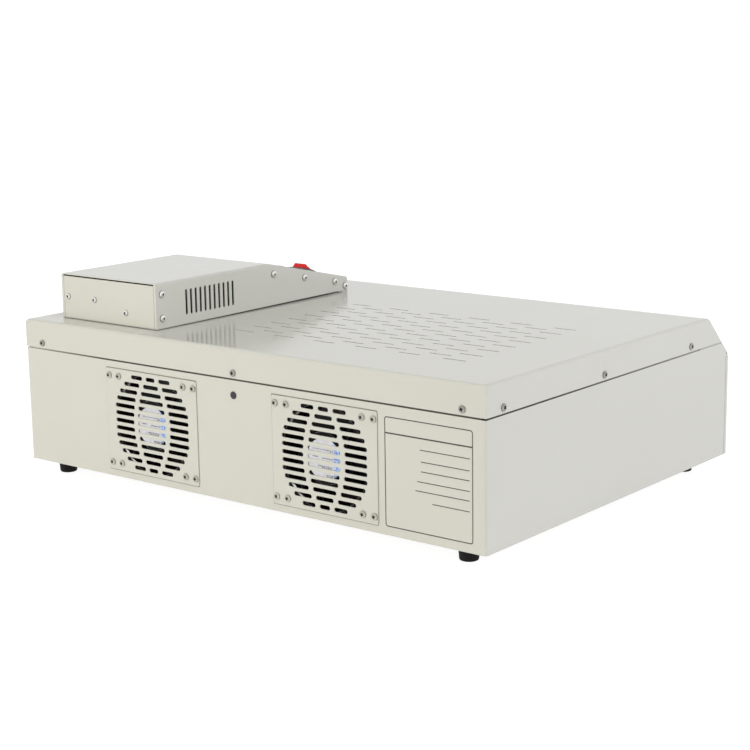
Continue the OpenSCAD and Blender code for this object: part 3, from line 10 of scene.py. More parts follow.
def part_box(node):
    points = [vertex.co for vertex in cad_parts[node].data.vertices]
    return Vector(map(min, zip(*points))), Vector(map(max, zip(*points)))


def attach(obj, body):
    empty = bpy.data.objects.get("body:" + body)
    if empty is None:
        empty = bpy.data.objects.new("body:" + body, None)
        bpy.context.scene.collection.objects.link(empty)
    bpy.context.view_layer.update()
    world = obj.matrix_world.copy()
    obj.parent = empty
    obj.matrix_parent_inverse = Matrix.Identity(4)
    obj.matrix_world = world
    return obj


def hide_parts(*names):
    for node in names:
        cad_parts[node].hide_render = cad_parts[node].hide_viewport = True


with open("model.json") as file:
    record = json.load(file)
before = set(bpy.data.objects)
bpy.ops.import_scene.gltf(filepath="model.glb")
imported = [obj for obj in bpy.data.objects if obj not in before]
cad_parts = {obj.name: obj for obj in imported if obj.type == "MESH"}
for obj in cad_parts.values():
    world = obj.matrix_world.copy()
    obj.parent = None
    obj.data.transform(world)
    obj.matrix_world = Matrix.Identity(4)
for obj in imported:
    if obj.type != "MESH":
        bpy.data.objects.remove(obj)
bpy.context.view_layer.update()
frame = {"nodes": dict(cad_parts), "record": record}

nodes = frame["nodes"]
mm = 0.001

# Planes of the oven, taken from the CAD nodes, in metres
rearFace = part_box("body_shell")[1].y
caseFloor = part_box("body_shell")[0].z
boxLow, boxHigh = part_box("box_cover")
print("frame loaded:", len(nodes), "nodes")


# Materials are built from nodes, all on Object coordinates
def newMaterial(name, colour, roughness, metallic=0.0, **shaderValues):
    material = bpy.data.materials.new(name)
    material.use_nodes = True
    shader = material.node_tree.nodes["Principled BSDF"]
    shader.inputs["Base Color"].default_value = (*colour, 1)
    shader.inputs["Roughness"].default_value = roughness
    shader.inputs["Metallic"].default_value = metallic
    for socket, value in shaderValues.items():
        shader.inputs[socket.replace("_", " ")].default_value = value
    return material


def addNode(material, kind, settings=None, **values):
    node = material.node_tree.nodes.new(kind)
    for key, value in (settings or {}).items():
        setattr(node, key, value)
    for socket, value in values.items():
        node.inputs[socket.replace("_", " ")].default_value = value
    return node


def join(material, source, target):
    material.node_tree.links.new(source, target)


def shaderOf(material):
    return material.node_tree.nodes["Principled BSDF"]


def placeOn(material, stretch=(1, 1, 1)):
    coordinates = addNode(material, "ShaderNodeTexCoord")
    mapping = addNode(material, "ShaderNodeMapping", {"vector_type": "POINT"})
    mapping.inputs["Scale"].default_value = stretch
    join(material, coordinates.outputs["Object"], mapping.inputs["Vector"])
    return mapping.outputs["Vector"]


def along(material, axis):  # the place along one axis, in metres
    split = addNode(material, "ShaderNodeSeparateXYZ")
    join(material, placeOn(material), split.inputs[0])
    return split.outputs[axis]


def noise(material, scale, detail=3.0, roughness=0.5, stretch=(1, 1, 1)):
    texture = addNode(material, "ShaderNodeTexNoise", Scale=scale, Detail=detail,
                      Roughness=roughness)
    join(material, placeOn(material, stretch), texture.inputs["Vector"])
    return texture.outputs["Fac"]


def spread(material, factor, low, high, fromLow=0.3, fromHigh=0.7):
    ranged = addNode(material, "ShaderNodeMapRange", From_Min=fromLow, From_Max=fromHigh,
                     To_Min=low, To_Max=high)
    join(material, factor, ranged.inputs["Value"])
    return ranged.outputs["Result"]


def blend(material, factor, first, second):  # first and second are colours or outputs
    mix = addNode(material, "ShaderNodeMix", {"data_type": "RGBA"})
    for slot, value in ((6, first), (7, second)):
        if isinstance(value, tuple):
            mix.inputs[slot].default_value = (*value, 1)
        else:
            join(material, value, mix.inputs[slot])
    join(material, factor, mix.inputs[0])
    join(material, mix.outputs[2], shaderOf(material).inputs["Base Color"])
    return mix.outputs[2]


def tint(material, factor, dark, light, fromLow=0.3, fromHigh=0.7):
    return blend(material, spread(material, factor, 0, 1, fromLow, fromHigh), dark, light)


def vary(material, factor, low, high):  # uneven roughness
    join(material, spread(material, factor, low, high), shaderOf(material).inputs["Roughness"])


def bump(material, factor, distance, strength=1.0, under=None):
    node = addNode(material, "ShaderNodeBump", Strength=strength, Distance=distance)
    join(material, factor, node.inputs["Height"])
    if under is not None:
        join(material, under, node.inputs["Normal"])
    join(material, node.outputs["Normal"], shaderOf(material).inputs["Normal"])


def softEdge(material, radius):  # rounds the look of sharp sheet edges
    bevel = addNode(material, "ShaderNodeBevel", {"samples": 4}, Radius=radius)
    join(material, bevel.outputs["Normal"], shaderOf(material).inputs["Normal"])
    return bevel.outputs["Normal"]


def openness(material, distance, reach):  # 0 in joints narrower than the distance, 1 outside
    hidden = addNode(material, "ShaderNodeAmbientOcclusion", {"samples": 8}, Distance=distance)
    return spread(material, hidden.outputs["AO"], 0, 1, *reach)


def edgeLightAndWear(material, colour, edgeLight, radius):  # painted light along outer edges: a lighter edge colour is metal rubbed through with a painted glint, a darker one is painted shade
    bevel = addNode(material, "ShaderNodeBevel", {"samples": 4}, Radius=radius)
    geometry = addNode(material, "ShaderNodeNewGeometry")
    facing = addNode(material, "ShaderNodeVectorMath", {"operation": "DOT_PRODUCT"})
    join(material, bevel.outputs["Normal"], facing.inputs[0])
    join(material, geometry.outputs["Normal"], facing.inputs[1])
    blend(material, spread(material, facing.outputs["Value"], 0.5, 0, 0.80, 0.97), colour, edgeLight)


# Some of these values set painted shade: the width and reach of the shade painted into narrow
# joints, the Y span beside the drawer kept free of it, and the colour, height and fading of the
# shade painted into the gap under the lid's skirt.
paintLook = {
    "pale": (0.685, 0.678, 0.628), "deep": (0.668, 0.660, 0.610),
    "rough": (0.10, 0.17), "peel": 0.00005, "edge": 0.0006,
    "jointShadeWidth": 0.0035, "jointShadeReach": (0.25, 0.85), "unshadedY": (-0.215, -0.19),
    "flangeZ": caseFloor + 0.1394, "flange": (0.085, 0.078, 0.060), "shadeFade": (0.50, 0.49, 0.44),
    "shadeFadeX": (0.20, 0.33), "shadeFadeY": (-0.26, 0.16),
}


def makePaint(name, jointShade=None, flanged=False):
    look = paintLook
    paint = newMaterial(name, look["pale"], 0.14)
    colour = tint(paint, noise(paint, 5, 4), look["deep"], look["pale"])
    if jointShade:  # painted shade: narrow joints take the joint colour, by their occlusion, except beside the drawer
        unshaded = addNode(paint, "ShaderNodeMath", {"operation": "MAXIMUM"})
        join(paint, openness(paint, look["jointShadeWidth"], look["jointShadeReach"]), unshaded.inputs[0])
        join(paint, spread(paint, along(paint, "Y"), 1, 0, *look["unshadedY"]), unshaded.inputs[1])
        colour = blend(paint, unshaded.outputs[0], jointShade, colour)
    if flanged:  # painted shade in the gap under the lid's skirt: a near-black colour above a height, on the upstand behind the skirt and the shell's top edge, fainter toward its far ends
        shadeFade = addNode(paint, "ShaderNodeMath", {"operation": "MULTIPLY"})
        join(paint, spread(paint, along(paint, "Y"), 0, 1, *look["shadeFadeY"]), shadeFade.inputs[0])
        join(paint, spread(paint, along(paint, "X"), 1, 0, *look["shadeFadeX"]), shadeFade.inputs[1])
        gapShadeColour = blend(paint, shadeFade.outputs[0], look["shadeFade"], look["flange"])
        above = addNode(paint, "ShaderNodeMath", {"operation": "GREATER_THAN"})
        above.inputs[1].default_value = look["flangeZ"]
        join(paint, along(paint, "Z"), above.inputs[0])
        blend(paint, above.outputs[0], colour, gapShadeColour)
    vary(paint, noise(paint, 14, 5), *look["rough"])
    edge = softEdge(paint, look["edge"])
    bump(paint, noise(paint, 480, 2), look["peel"], 0.5, edge)
    return paint


metalLook = {"cloud": 60, "brushed": 90, "plain": 500, "edge": 0.0002,
             "recessShadeWidth": 0.0012, "recessShadeReach": (0.35, 0.9)}


def makeMetal(name, colour, dark, rough, grain=None, depth=0.00002, recessShade=None):
    # plated or not; grain is the stretch of a brushed finish, and the last colour is painted
    # shade darkening its recesses by their occlusion
    look = metalLook
    metal = newMaterial(name, colour, rough[0], 1.0)
    shade = tint(metal, noise(metal, look["cloud"], 4), dark, colour)
    if recessShade:
        blend(metal, openness(metal, look["recessShadeWidth"], look["recessShadeReach"]), recessShade, shade)
    scale = look["brushed"] if grain else look["plain"]
    strands = noise(metal, scale, 6, 0.6, grain or (1, 1, 1))
    vary(metal, strands, *rough)
    bump(metal, strands, depth, 0.35, softEdge(metal, look["edge"]))
    return metal


plasticLook = {"cloud": 30, "sheen": 80, "edgeLightRadius": 0.0006, "edge": 0.0003}


def makePlastic(name, colour, light, rough, grainScale=1400, depth=0.00003, edgeLight=None, **values):
    look = plasticLook
    plastic = newMaterial(name, colour, rough[0], **values)
    shade = tint(plastic, noise(plastic, look["cloud"], 4), colour, light)
    # painted light along the outer edges, from the edge colour
    if edgeLight:
        edgeLightAndWear(plastic, shade, edgeLight, look["edgeLightRadius"])
    vary(plastic, noise(plastic, look["sheen"], 5), *rough)
    bump(plastic, noise(plastic, grainScale, 3), depth, 0.5, softEdge(plastic, look["edge"]))
    return plastic


def makeGlass(name, colour, rough, share):
    glass = newMaterial(name, colour, rough, 0.0, Transmission_Weight=share, IOR=1.45)
    vary(glass, noise(glass, 25, 3), rough, rough + 0.03)
    return glass


def makeWool():
    wool = newMaterial("mineralWool", (0.62, 0.55, 0.36), 0.95)
    fibres = noise(wool, 420, 8, 0.75, (1, 1, 2.5))
    tint(wool, fibres, (0.50, 0.42, 0.25), (0.74, 0.68, 0.50))
    bump(wool, fibres, 0.0012, 0.9)
    return wool


def makeBoard():
    board = newMaterial("solderMask", (0.02, 0.14, 0.06), 0.35, 0.0, Coat_Weight=0.3)
    cells = addNode(board, "ShaderNodeTexVoronoi", {"feature": "DISTANCE_TO_EDGE"}, Scale=260)
    join(board, placeOn(board), cells.inputs["Vector"])
    tint(board, cells.outputs["Distance"], (0.035, 0.22, 0.09), (0.015, 0.12, 0.05), 0.0, 0.12)
    bump(board, cells.outputs["Distance"], 0.00005, 0.5)
    return board


def makeInk(name, dark, light, rough=(0.38, 0.6)):
    ink = newMaterial(name, dark, rough[0])
    vary(ink, noise(ink, 300, 4), *rough)
    tint(ink, noise(ink, 220, 5), dark, light)
    return ink


# The second colour of each paint is painted shade for its narrow joints.
paint = makePaint("creamPaint", (0.045, 0.042, 0.036))
lidPaint = makePaint("lidPaint", (0.60, 0.59, 0.54))
platePaint = makePaint("platePaint")
# The shell also gets painted shade in the gap under the lid's skirt.
shellPaint = makePaint("shellPaint", (0.10, 0.095, 0.08), flanged=True)
# The last colour of each metal is painted shade for its recesses.
zinc = makeMetal("zincPlate", (0.60, 0.60, 0.59), (0.48, 0.48, 0.47), (0.22, 0.36),
                 recessShade=(0.12, 0.12, 0.12))
# Painted highlight: a lighter copy of the zinc plating, for the box screws and the bores'
# chamfers.
litZinc = makeMetal("litZinc", (0.86, 0.86, 0.84), (0.72, 0.72, 0.70), (0.16, 0.26),
                       recessShade=(0.16, 0.16, 0.15))
# Painted shade: a darker copy of the zinc plating, for the lid screws.
shadedZinc = makeMetal("shadedZinc", (0.42, 0.41, 0.38), (0.30, 0.29, 0.27), (0.28, 0.42),
                     recessShade=(0.04, 0.04, 0.035))
paleZinc = makeMetal("paleZinc", (0.60, 0.58, 0.51), (0.50, 0.48, 0.42), (0.42, 0.58),
                     recessShade=(0.10, 0.095, 0.08))
# Painted shade: a near-black colour on the walls of the screws' cross recesses.
recessShadeFill = newMaterial("recessShadeFill", (0.03, 0.028, 0.024), 0.7)
tint(recessShadeFill, noise(recessShadeFill, 900, 3), (0.015, 0.014, 0.012), (0.05, 0.046, 0.04))
stainlessAcross = makeMetal("stainlessAcross", (0.62, 0.61, 0.59), (0.54, 0.53, 0.51),
                            (0.20, 0.36), (0.6, 60, 60))
stainlessAlong = makeMetal("stainlessAlong", (0.62, 0.61, 0.59), (0.53, 0.52, 0.50),
                           (0.20, 0.36), (60, 0.6, 60))
brightReflector = makeMetal("polishedReflector", (0.84, 0.84, 0.83), (0.76, 0.76, 0.75),
                            (0.06, 0.16), (0.8, 40, 40), 0.00001)
# The casting's edge colour is unpainted metal on its edges, with a painted glint.
blackCasting = makePlastic("blackCasting", (0.005, 0.005, 0.006), (0.010, 0.010, 0.011),
                           (0.30, 0.45), 900, 0.00006, (0.80, 0.78, 0.73),
                           Specular_IOR_Level=0.05)
blackPlastic = makePlastic("blackPlastic", (0.016, 0.016, 0.017), (0.028, 0.028, 0.030),
                           (0.34, 0.5))
plugPlastic = makePlastic("plugPlastic", (0.014, 0.015, 0.022), (0.024, 0.025, 0.034),
                          (0.3, 0.42))
rubber = makePlastic("blackRubber", (0.006, 0.006, 0.006), (0.012, 0.012, 0.012), (0.55, 0.7),
                     1100, 0.00006, Specular_IOR_Level=0.15)
silicone = makePlastic("redSilicone", (0.36, 0.05, 0.025), (0.45, 0.08, 0.04), (0.5, 0.65))
ceramic = makePlastic("glazedCeramic", (0.72, 0.69, 0.60), (0.82, 0.80, 0.73), (0.25, 0.5), 500)
quartz = makeGlass("quartz", (0.93, 0.95, 0.97), 0.04, 0.9)
tintedGlass = makeGlass("tintedGlass", (0.42, 0.46, 0.48), 0.02, 0.92)
lensPlastic = makeGlass("displayLens", (0.75, 0.80, 0.86), 0.05, 0.85)
# The rocker's edge colour is painted shade along its edges.
redPlastic = makePlastic("redRocker", (0.80, 0.008, 0.004), (0.90, 0.014, 0.008), (0.2, 0.3),
                         600, 0.00002, (0.40, 0.003, 0.003), Specular_IOR_Level=0.25)
keyPlastic = makePlastic("keyPlastic", (0.035, 0.07, 0.17), (0.05, 0.09, 0.21), (0.35, 0.5))
filamentWire = makeMetal("filamentWire", (0.30, 0.24, 0.20), (0.20, 0.15, 0.12), (0.4, 0.6))
wool = makeWool()
boardGreen = makeBoard()
greyInk = makeInk("greyInk", (0.045, 0.042, 0.036), (0.08, 0.075, 0.066))
# Painted shadow colour for the lines along the grille plates.
shadowInk = makeInk("shadowInk", (0.20, 0.195, 0.17), (0.30, 0.29, 0.25))
whiteInk = makeInk("whiteInk", (0.70, 0.70, 0.69), (0.80, 0.80, 0.79))

finishes = {
    "case_paint": paint, "stainless": stainlessAcross, "zinc": zinc, "fan_metal": blackCasting,
    "black_plastic": blackPlastic, "plug_plastic": plugPlastic, "insulation": wool,
    "quartz": quartz, "filament": filamentWire, "ceramic": ceramic, "rubber": rubber,
    "silicone": silicone, "window_glass": tintedGlass, "display_lens": lensPlastic,
    "circuit_board": boardGreen, "rocker_red": redPlastic, "key_cap": keyPlastic,
}
ownFinish = {"body_shell": shellPaint, "lid": lidPaint, "grille_left": platePaint,
             "grille_right": platePaint, "reflector": brightReflector,
             "drawer_rails": stainlessAlong, "drawer_runners": stainlessAlong,
             "tray_mesh": stainlessAlong}
for part in frame["record"]["subparts"]:
    mesh = nodes[part["node"]].data
    mesh.materials.clear()
    mesh.materials.append(ownFinish.get(part["node"], finishes[part["material_slot"]]))
print("materials on all nodes")


# Helpers for new pieces
def toMesh(bm, name):
    data = bpy.data.meshes.new(name)
    bm.to_mesh(data)
    bm.free()
    return data


def toPiece(bm, name, material, body="case", replaced=()):
    data = toMesh(bm, name)
    for finish in material if isinstance(material, list) else [material]:
        data.materials.append(finish)
    piece = bpy.data.objects.new(name, data)
    bpy.context.scene.collection.objects.link(piece)
    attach(piece, body)
    if replaced:
        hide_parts(*replaced)


def spun(profile, steps=32):  # a profile of (radius, height) points turned about Z
    bm = bmesh.new()
    points = [bm.verts.new((r, 0, z)) for r, z in profile]
    edges = [bm.edges.new(pair) for pair in zip(points, points[1:])]
    bmesh.ops.spin(bm, geom=points + edges, cent=(0, 0, 0), axis=(0, 0, 1),
                   angle=2 * math.pi, steps=steps, use_merge=True)
    bmesh.ops.remove_doubles(bm, verts=bm.verts, dist=1e-6)
    bmesh.ops.recalc_face_normals(bm, faces=bm.faces)
    return bm


def blockMesh(bm, low, high):
    made = bmesh.ops.create_cube(bm, size=1)["verts"]
    low, high = Vector(low), Vector(high)
    bmesh.ops.scale(bm, vec=high - low, verts=made)
    bmesh.ops.translate(bm, vec=(low + high) / 2, verts=made)
    return made


def smoothed(bm, angle=40):  # smooth faces, sharp along edges that turn by more
    for face in bm.faces:
        face.smooth = True
    for edge in bm.edges:
        if len(edge.link_faces) == 2:
            edge.smooth = edge.calc_face_angle() < math.radians(angle)
    return bm


def alignedTo(axis, place, turn=0.0):  # takes +Z to the axis and the origin to the place
    turned = Vector(axis).to_track_quat("Z", "Y").to_matrix().to_4x4()
    return Matrix.Translation(Vector(place)) @ turned @ Matrix.Rotation(turn, 4, "Z")


def subtracted(body, cutter):
    base = bpy.data.objects.new("subtractBase", body)
    tool = bpy.data.objects.new("subtractTool", cutter)
    for item in (base, tool):
        bpy.context.scene.collection.objects.link(item)
    modifier = base.modifiers.new("cut", "BOOLEAN")
    modifier.operation = "DIFFERENCE"
    modifier.solver = "EXACT"
    modifier.use_self = True
    modifier.object = tool
    evaluated = base.evaluated_get(bpy.context.evaluated_depsgraph_get())
    result = bpy.data.meshes.new_from_object(evaluated)
    for item in (base, tool):
        bpy.data.objects.remove(item)
    return result


def laidBack(bm):  # takes +Z to the rear
    bmesh.ops.rotate(bm, cent=(0, 0, 0), matrix=Matrix.Rotation(math.radians(-90), 3, "X"),
                     verts=bm.verts)


def movedToHub(bm, side):  # from the origin to the middle of a fan's rear face
    low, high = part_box(f"fan_frame_{side}")
    bmesh.ops.translate(bm, vec=((low.x + high.x) / 2, high.y, (low.z + high.z) / 2),
                        verts=bm.verts)


# Screws with threads and cross recesses, sizes in millimetres
screwShape = {"pitch": 0.7, "root": 0.86, "tip": 0.75, "tipLength": 0.3, "steps": 28,
              "armWide": 0.15, "armFoot": 0.45, "rim": 0.38, "under": 0.94, "lip": 0.98}
screwKinds = {
    "pan": {"headD": 8.0, "headH": 2.2, "threadD": 4.0, "recess": 5.4, "recessDeep": 1.6},
    "dome": {"headD": 8.2, "headH": 2.8, "threadD": 4.0, "recess": 4.0, "recessDeep": 1.7},
    "low": {"headD": 7.0, "headH": 2.0, "threadD": 4.0, "recess": 4.8, "recessDeep": 1.4},
    "tall": {"headD": 8.0, "headH": 3.0, "threadD": 4.0, "recess": 4.6, "recessDeep": 2.0},
    "flat": {"headD": 7.0, "headH": 0.0, "threadD": 4.0, "recess": 4.2, "recessDeep": 1.2},
}


def headProfile(headR, headH, threadR):
    if headH == 0:  # countersunk
        return [(threadR, threadR - headR), (headR * screwShape["lip"], 0), (0, 0)]
    rim = headH * screwShape["rim"]
    points = [(threadR, 0), (headR * screwShape["under"], 0), (headR, rim * 0.3)]
    for step in range(9):
        angle = math.radians(step * 90 / 8)
        points.append((headR * math.cos(angle) ** 0.8 if step < 8 else 0,
                       rim + (headH - rim) * math.sin(angle)))
    return points


def screwMesh(kind, length):
    shape = screwShape
    size = {key: value * mm for key, value in screwKinds[kind].items()}
    headR, headH, threadR = size["headD"] / 2, size["headH"], size["threadD"] / 2
    under = headR - threadR if headH == 0 else 0
    start = -length + threadR * shape["tipLength"]
    profile = [(0, -length), (threadR * shape["tip"], -length), (threadR, start)]
    pitch = shape["pitch"] * mm
    for turn in range(int((length - under - threadR * 0.5) / pitch)):
        z = start + turn * pitch
        profile += [(threadR * shape["root"], z + pitch * 0.5), (threadR, z + pitch)]
    profile += headProfile(headR, headH, threadR)
    body = toMesh(smoothed(spun(profile, shape["steps"]), 50), "screwBody")

    cutter = bmesh.new()
    half, deep, wide = size["recess"] / 2, size["recessDeep"], size["recess"] * shape["armWide"]
    for turn in (0, 90):
        made = blockMesh(cutter, (-half, -wide, headH - deep), (half, wide, headH + mm))
        for vert in made:
            if vert.co.z < headH:
                vert.co.x *= shape["armFoot"]
        bmesh.ops.rotate(cutter, cent=(0, 0, 0), verts=made,
                         matrix=Matrix.Rotation(math.radians(turn), 3, "Z"))
    # the walls of the cross recess take the painted shade colour
    for face in cutter.faces:
        face.material_index = 1
    cross = toMesh(cutter, "screwCross")
    for mesh in (body, cross):
        mesh.materials.append(zinc)
        mesh.materials.append(recessShadeFill)
    return subtracted(body, cross)


def solidsOf(node):  # lowest and highest corner of each separate solid of a CAD node
    bm = bmesh.new()
    bm.from_mesh(nodes[node].data)
    bmesh.ops.remove_doubles(bm, verts=bm.verts, dist=1e-6)
    left, found = set(bm.verts), []
    while left:
        stack, island = [left.pop()], []
        while stack:
            vert = stack.pop()
            island.append(vert.co.copy())
            for edge in vert.link_edges:
                other = edge.other_vert(vert)
                if other in left:
                    left.remove(other)
                    stack.append(other)
        found.append((Vector([min(p[k] for p in island) for k in range(3)]),
                      Vector([max(p[k] for p in island) for k in range(3)])))
    bm.free()
    return sorted(found, key=lambda pair: [round(c, 5) for c in pair[0]])


def outward(low, high, middle):  # a screw's own axis, from its point to its head
    size = high - low
    k = max(range(3), key=lambda k: size[k])
    sign = 1
    if k == 0 and (low.x + high.x) / 2 < middle:
        sign = -1
    return Vector([sign if i == k else 0 for i in range(3)]), k


def screwSet(name, node, kindOf, material=zinc):
    # one piece with a screw for each solid of the CAD node, each turned by chance
    chance = random.Random(name)
    low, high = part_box(node)
    middle = (low.x + high.x) / 2
    meshes = {}
    bm = bmesh.new()
    for low, high in solidsOf(node):
        axis, k = outward(low, high, middle)
        kind, length = kindOf(k, (low + high) / 2)
        headH = screwKinds[kind]["headH"] * mm
        seat = (low + high) / 2
        seat[k] = (high[k] if axis[k] > 0 else low[k]) - axis[k] * headH
        if kind not in meshes:
            meshes[kind] = screwMesh(kind, length * mm)
        before = len(bm.verts)
        bm.from_mesh(meshes[kind])
        bm.verts.ensure_lookup_table()
        bmesh.ops.transform(bm, matrix=alignedTo(axis, seat, chance.uniform(0, math.pi / 2)),
                            verts=bm.verts[before:])
    toPiece(bm, name, [material, recessShadeFill], "case", [node])


screwSet("lidScrewSet", "lid_screws", lambda k, at: ("pan", 8), shadedZinc)
screwSet("grilleScrewSet", "grille_screws", lambda k, at: ("pan", 6), paleZinc)
screwSet("fanScrewSet", "fan_screws", lambda k, at: ("pan", 12), paleZinc)
screwSet("boxScrewSet", "box_screws", lambda k, at: ("low", 6) if k == 1 else ("dome", 6),
         litZinc)
screwSet("innerScrewSet", "inner_screws",
         lambda k, at: ("flat", 9) if k == 0 else ("tall", 9) if at.z < 0.1 else ("pan", 8.5))
print("screws made")


# Blank ruled form printed on the rear face; heights are above the case's underside
formPlace = {
    "left": -0.326, "right": -0.214, "low": 0.0095, "high": 0.1277, "corner": 0.0035,
    "line": 0.0011, "divider": 0.1102, "dividerLine": 0.00154, "ruleLine": 0.000935,
    "ink": 0.00008,
    "rules": [(0.0980, -0.2598, -0.3223), (0.0856, -0.2610, -0.3217),
              (0.0753, -0.2610, -0.3217), (0.0643, -0.2561, -0.3217),
              (0.0543, -0.2536, -0.3216), (0.0431, -0.2751, -0.3217)],
}


def strip(bm, start, end, width, depth, plane):  # a printed line on a rear-facing plane
    a, b = Vector((start[0], 0, start[1])), Vector((end[0], 0, end[1]))
    run = b - a
    made = blockMesh(bm, (-run.length / 2, 0, -width / 2), (run.length / 2, depth, width / 2))
    bmesh.ops.rotate(bm, cent=(0, 0, 0), verts=made,
                     matrix=Matrix.Rotation(-math.atan2(run.z, run.x), 3, "Y"))
    bmesh.ops.translate(bm, vec=((a + b) / 2 + Vector((0, plane, 0))), verts=made)
    return made


def outline(bm, left, right, low, high, corner, inset, steps=8):
    verts = []
    for cx, cz, start in ((right - corner, high - corner, 0), (left + corner, high - corner, 90),
                          (left + corner, low + corner, 180),
                          (right - corner, low + corner, 270)):
        for step in range(steps + 1):
            angle = math.radians(start + 90 * step / steps)
            reach = corner - inset
            verts.append(bm.verts.new((cx + reach * math.cos(angle), 0,
                                       cz + reach * math.sin(angle))))
    return [bm.edges.new((verts[i], verts[(i + 1) % len(verts)])) for i in range(len(verts))]


def thickened(bm, faces, depth):  # a flat printed shape gets its depth toward +Y
    raised = bmesh.ops.extrude_face_region(bm, geom=faces)["geom"]
    bmesh.ops.translate(bm, vec=(0, depth, 0),
                        verts=[v for v in raised if isinstance(v, bmesh.types.BMVert)])
    bmesh.ops.recalc_face_normals(bm, faces=bm.faces)


def printedFrame(left, right, low, high, corner, width, depth):
    bm = bmesh.new()
    outer = outline(bm, left, right, low, high, corner, 0)
    inner = outline(bm, left, right, low, high, corner, width)
    thickened(bm, bmesh.ops.bridge_loops(bm, edges=outer + inner)["faces"], depth)
    return bm


def makeForm():
    f = formPlace
    bm = printedFrame(f["left"], f["right"], caseFloor + f["low"], caseFloor + f["high"],
                      f["corner"], f["line"], f["ink"])
    bmesh.ops.translate(bm, vec=(0, rearFace, 0), verts=bm.verts)
    z = caseFloor + f["divider"]
    strip(bm, (f["left"] + f["line"], z), (f["right"] - f["line"], z), f["dividerLine"],
          f["ink"], rearFace)
    for height, start, end in f["rules"]:
        strip(bm, (start, caseFloor + height), (end, caseFloor + height), f["ruleLine"],
              f["ink"], rearFace)
    toPiece(bm, "blankForm", greyInk)


makeForm()


# Painted shadow: a thin grey line on the rear face along the outlines of the grille plates
plateShadowLine = {"wide": 0.0010, "corner": 0.0012, "thick": 0.00006}


def makePlateShadowLine(side):
    low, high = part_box(f"grille_{side}")
    w = plateShadowLine["wide"]
    bm = printedFrame(low.x, high.x + w, low.z - w, high.z + w, plateShadowLine["corner"], w,
                      plateShadowLine["thick"])
    bmesh.ops.translate(bm, vec=(0, rearFace, 0), verts=bm.verts)
    toPiece(bm, f"plateShadowLine_{side}", shadowInk)


makePlateShadowLine("left")
makePlateShadowLine("right")


# Bare machined chamfer of each fan's bore at the four corners of its frame
boreEdge = {"radius": 0.0570, "wide": 0.0014, "deep": 0.0018, "proud": 0.00005,
            "from": 32, "to": 64}


def makeBoreEdge(side):
    size = boreEdge
    inner, outer = size["radius"] - size["proud"], size["radius"] + size["wide"]
    bm = bmesh.new()
    profile = ((inner, 0, -size["deep"]), (outer, 0, size["proud"]), (outer, 0, -size["deep"]))
    for start in (size["from"], 180 - size["to"], 180 + size["from"], 360 - size["to"]):
        turn = Matrix.Rotation(math.radians(start), 3, "Z")
        face = bm.faces.new([bm.verts.new(turn @ Vector(point)) for point in profile])
        bmesh.ops.spin(bm, geom=[face, *face.edges, *face.verts], cent=(0, 0, 0),
                       axis=(0, 0, 1), angle=math.radians(size["to"] - size["from"]), steps=12)
    bmesh.ops.recalc_face_normals(bm, faces=bm.faces)
    laidBack(bm)
    movedToHub(bm, side)
    # The chamfers take the lighter zinc copy, a painted highlight.
    toPiece(smoothed(bm), f"boreEdge_{side}", litZinc)


makeBoreEdge("left")
makeBoreEdge("right")


# Painted shade: a black strip inside the control box, behind the open joint under its roof,
# darkens that joint
roofShadeStrip = {"inset": 0.004, "behind": 0.0035, "deep": 0.003, "high": 0.007, "below": 0.0015}


def makeRoofShadeStrip():
    size = roofShadeStrip
    bm = bmesh.new()
    top = boxHigh.z - size["below"]
    rear = boxHigh.y - size["behind"]
    blockMesh(bm, (boxLow.x + size["inset"], rear - size["deep"], top - size["high"]),
              (boxHigh.x - size["inset"], rear, top))
    toPiece(bm, "roofShadeStrip", rubber)


makeRoofShadeStrip()


# Round labels on the fan hubs, a silver disc with a blue band and rows of small grey marks
hubLabel = {"radius": 0.0236, "lower": 0.0013, "thick": 0.00012, "band": -0.0130,
            "fadeZ": (caseFloor + 0.0495, caseFloor + 0.0545), "rowWidth": 0.0011,
            "rowThick": 0.00006, "mark": (0.0005, 0.0022), "gap": (0.0004, 0.0009),
            "rows": [(0.0094, -0.012, 0.016, 0.5), (0.0078, -0.012, -0.007, 1.0),
                     (0.0008, 0.009, 0.017, 0.7), (0.0000, -0.012, 0.003, 1.0),
                     (-0.0088, -0.011, 0.008, 0.9), (-0.0104, -0.010, 0.004, 1.0),
                     (-0.0182, -0.012, -0.002, 1.0), (-0.0196, -0.012, -0.003, 0.8)]}
labelPaper = newMaterial("hubLabelPaper", (0.62, 0.63, 0.70), 0.35, 0.25)
tint(labelPaper, noise(labelPaper, 180, 4), (0.58, 0.58, 0.64), (0.70, 0.70, 0.76))
labelBlue = newMaterial("hubLabelBlue", (0.16, 0.28, 0.72), 0.35)
cells = tint(labelBlue, noise(labelBlue, 420, 2, 0.4), (0.16, 0.29, 0.74), (0.55, 0.64, 0.90),
             0.42, 0.60)
fade = spread(labelBlue, along(labelBlue, "Z"), 0, 1, *hubLabel["fadeZ"])
blend(labelBlue, fade, (0.012, 0.016, 0.06), cells)
labelGrey = makeInk("hubLabelGrey", (0.05, 0.05, 0.06), (0.16, 0.16, 0.18))


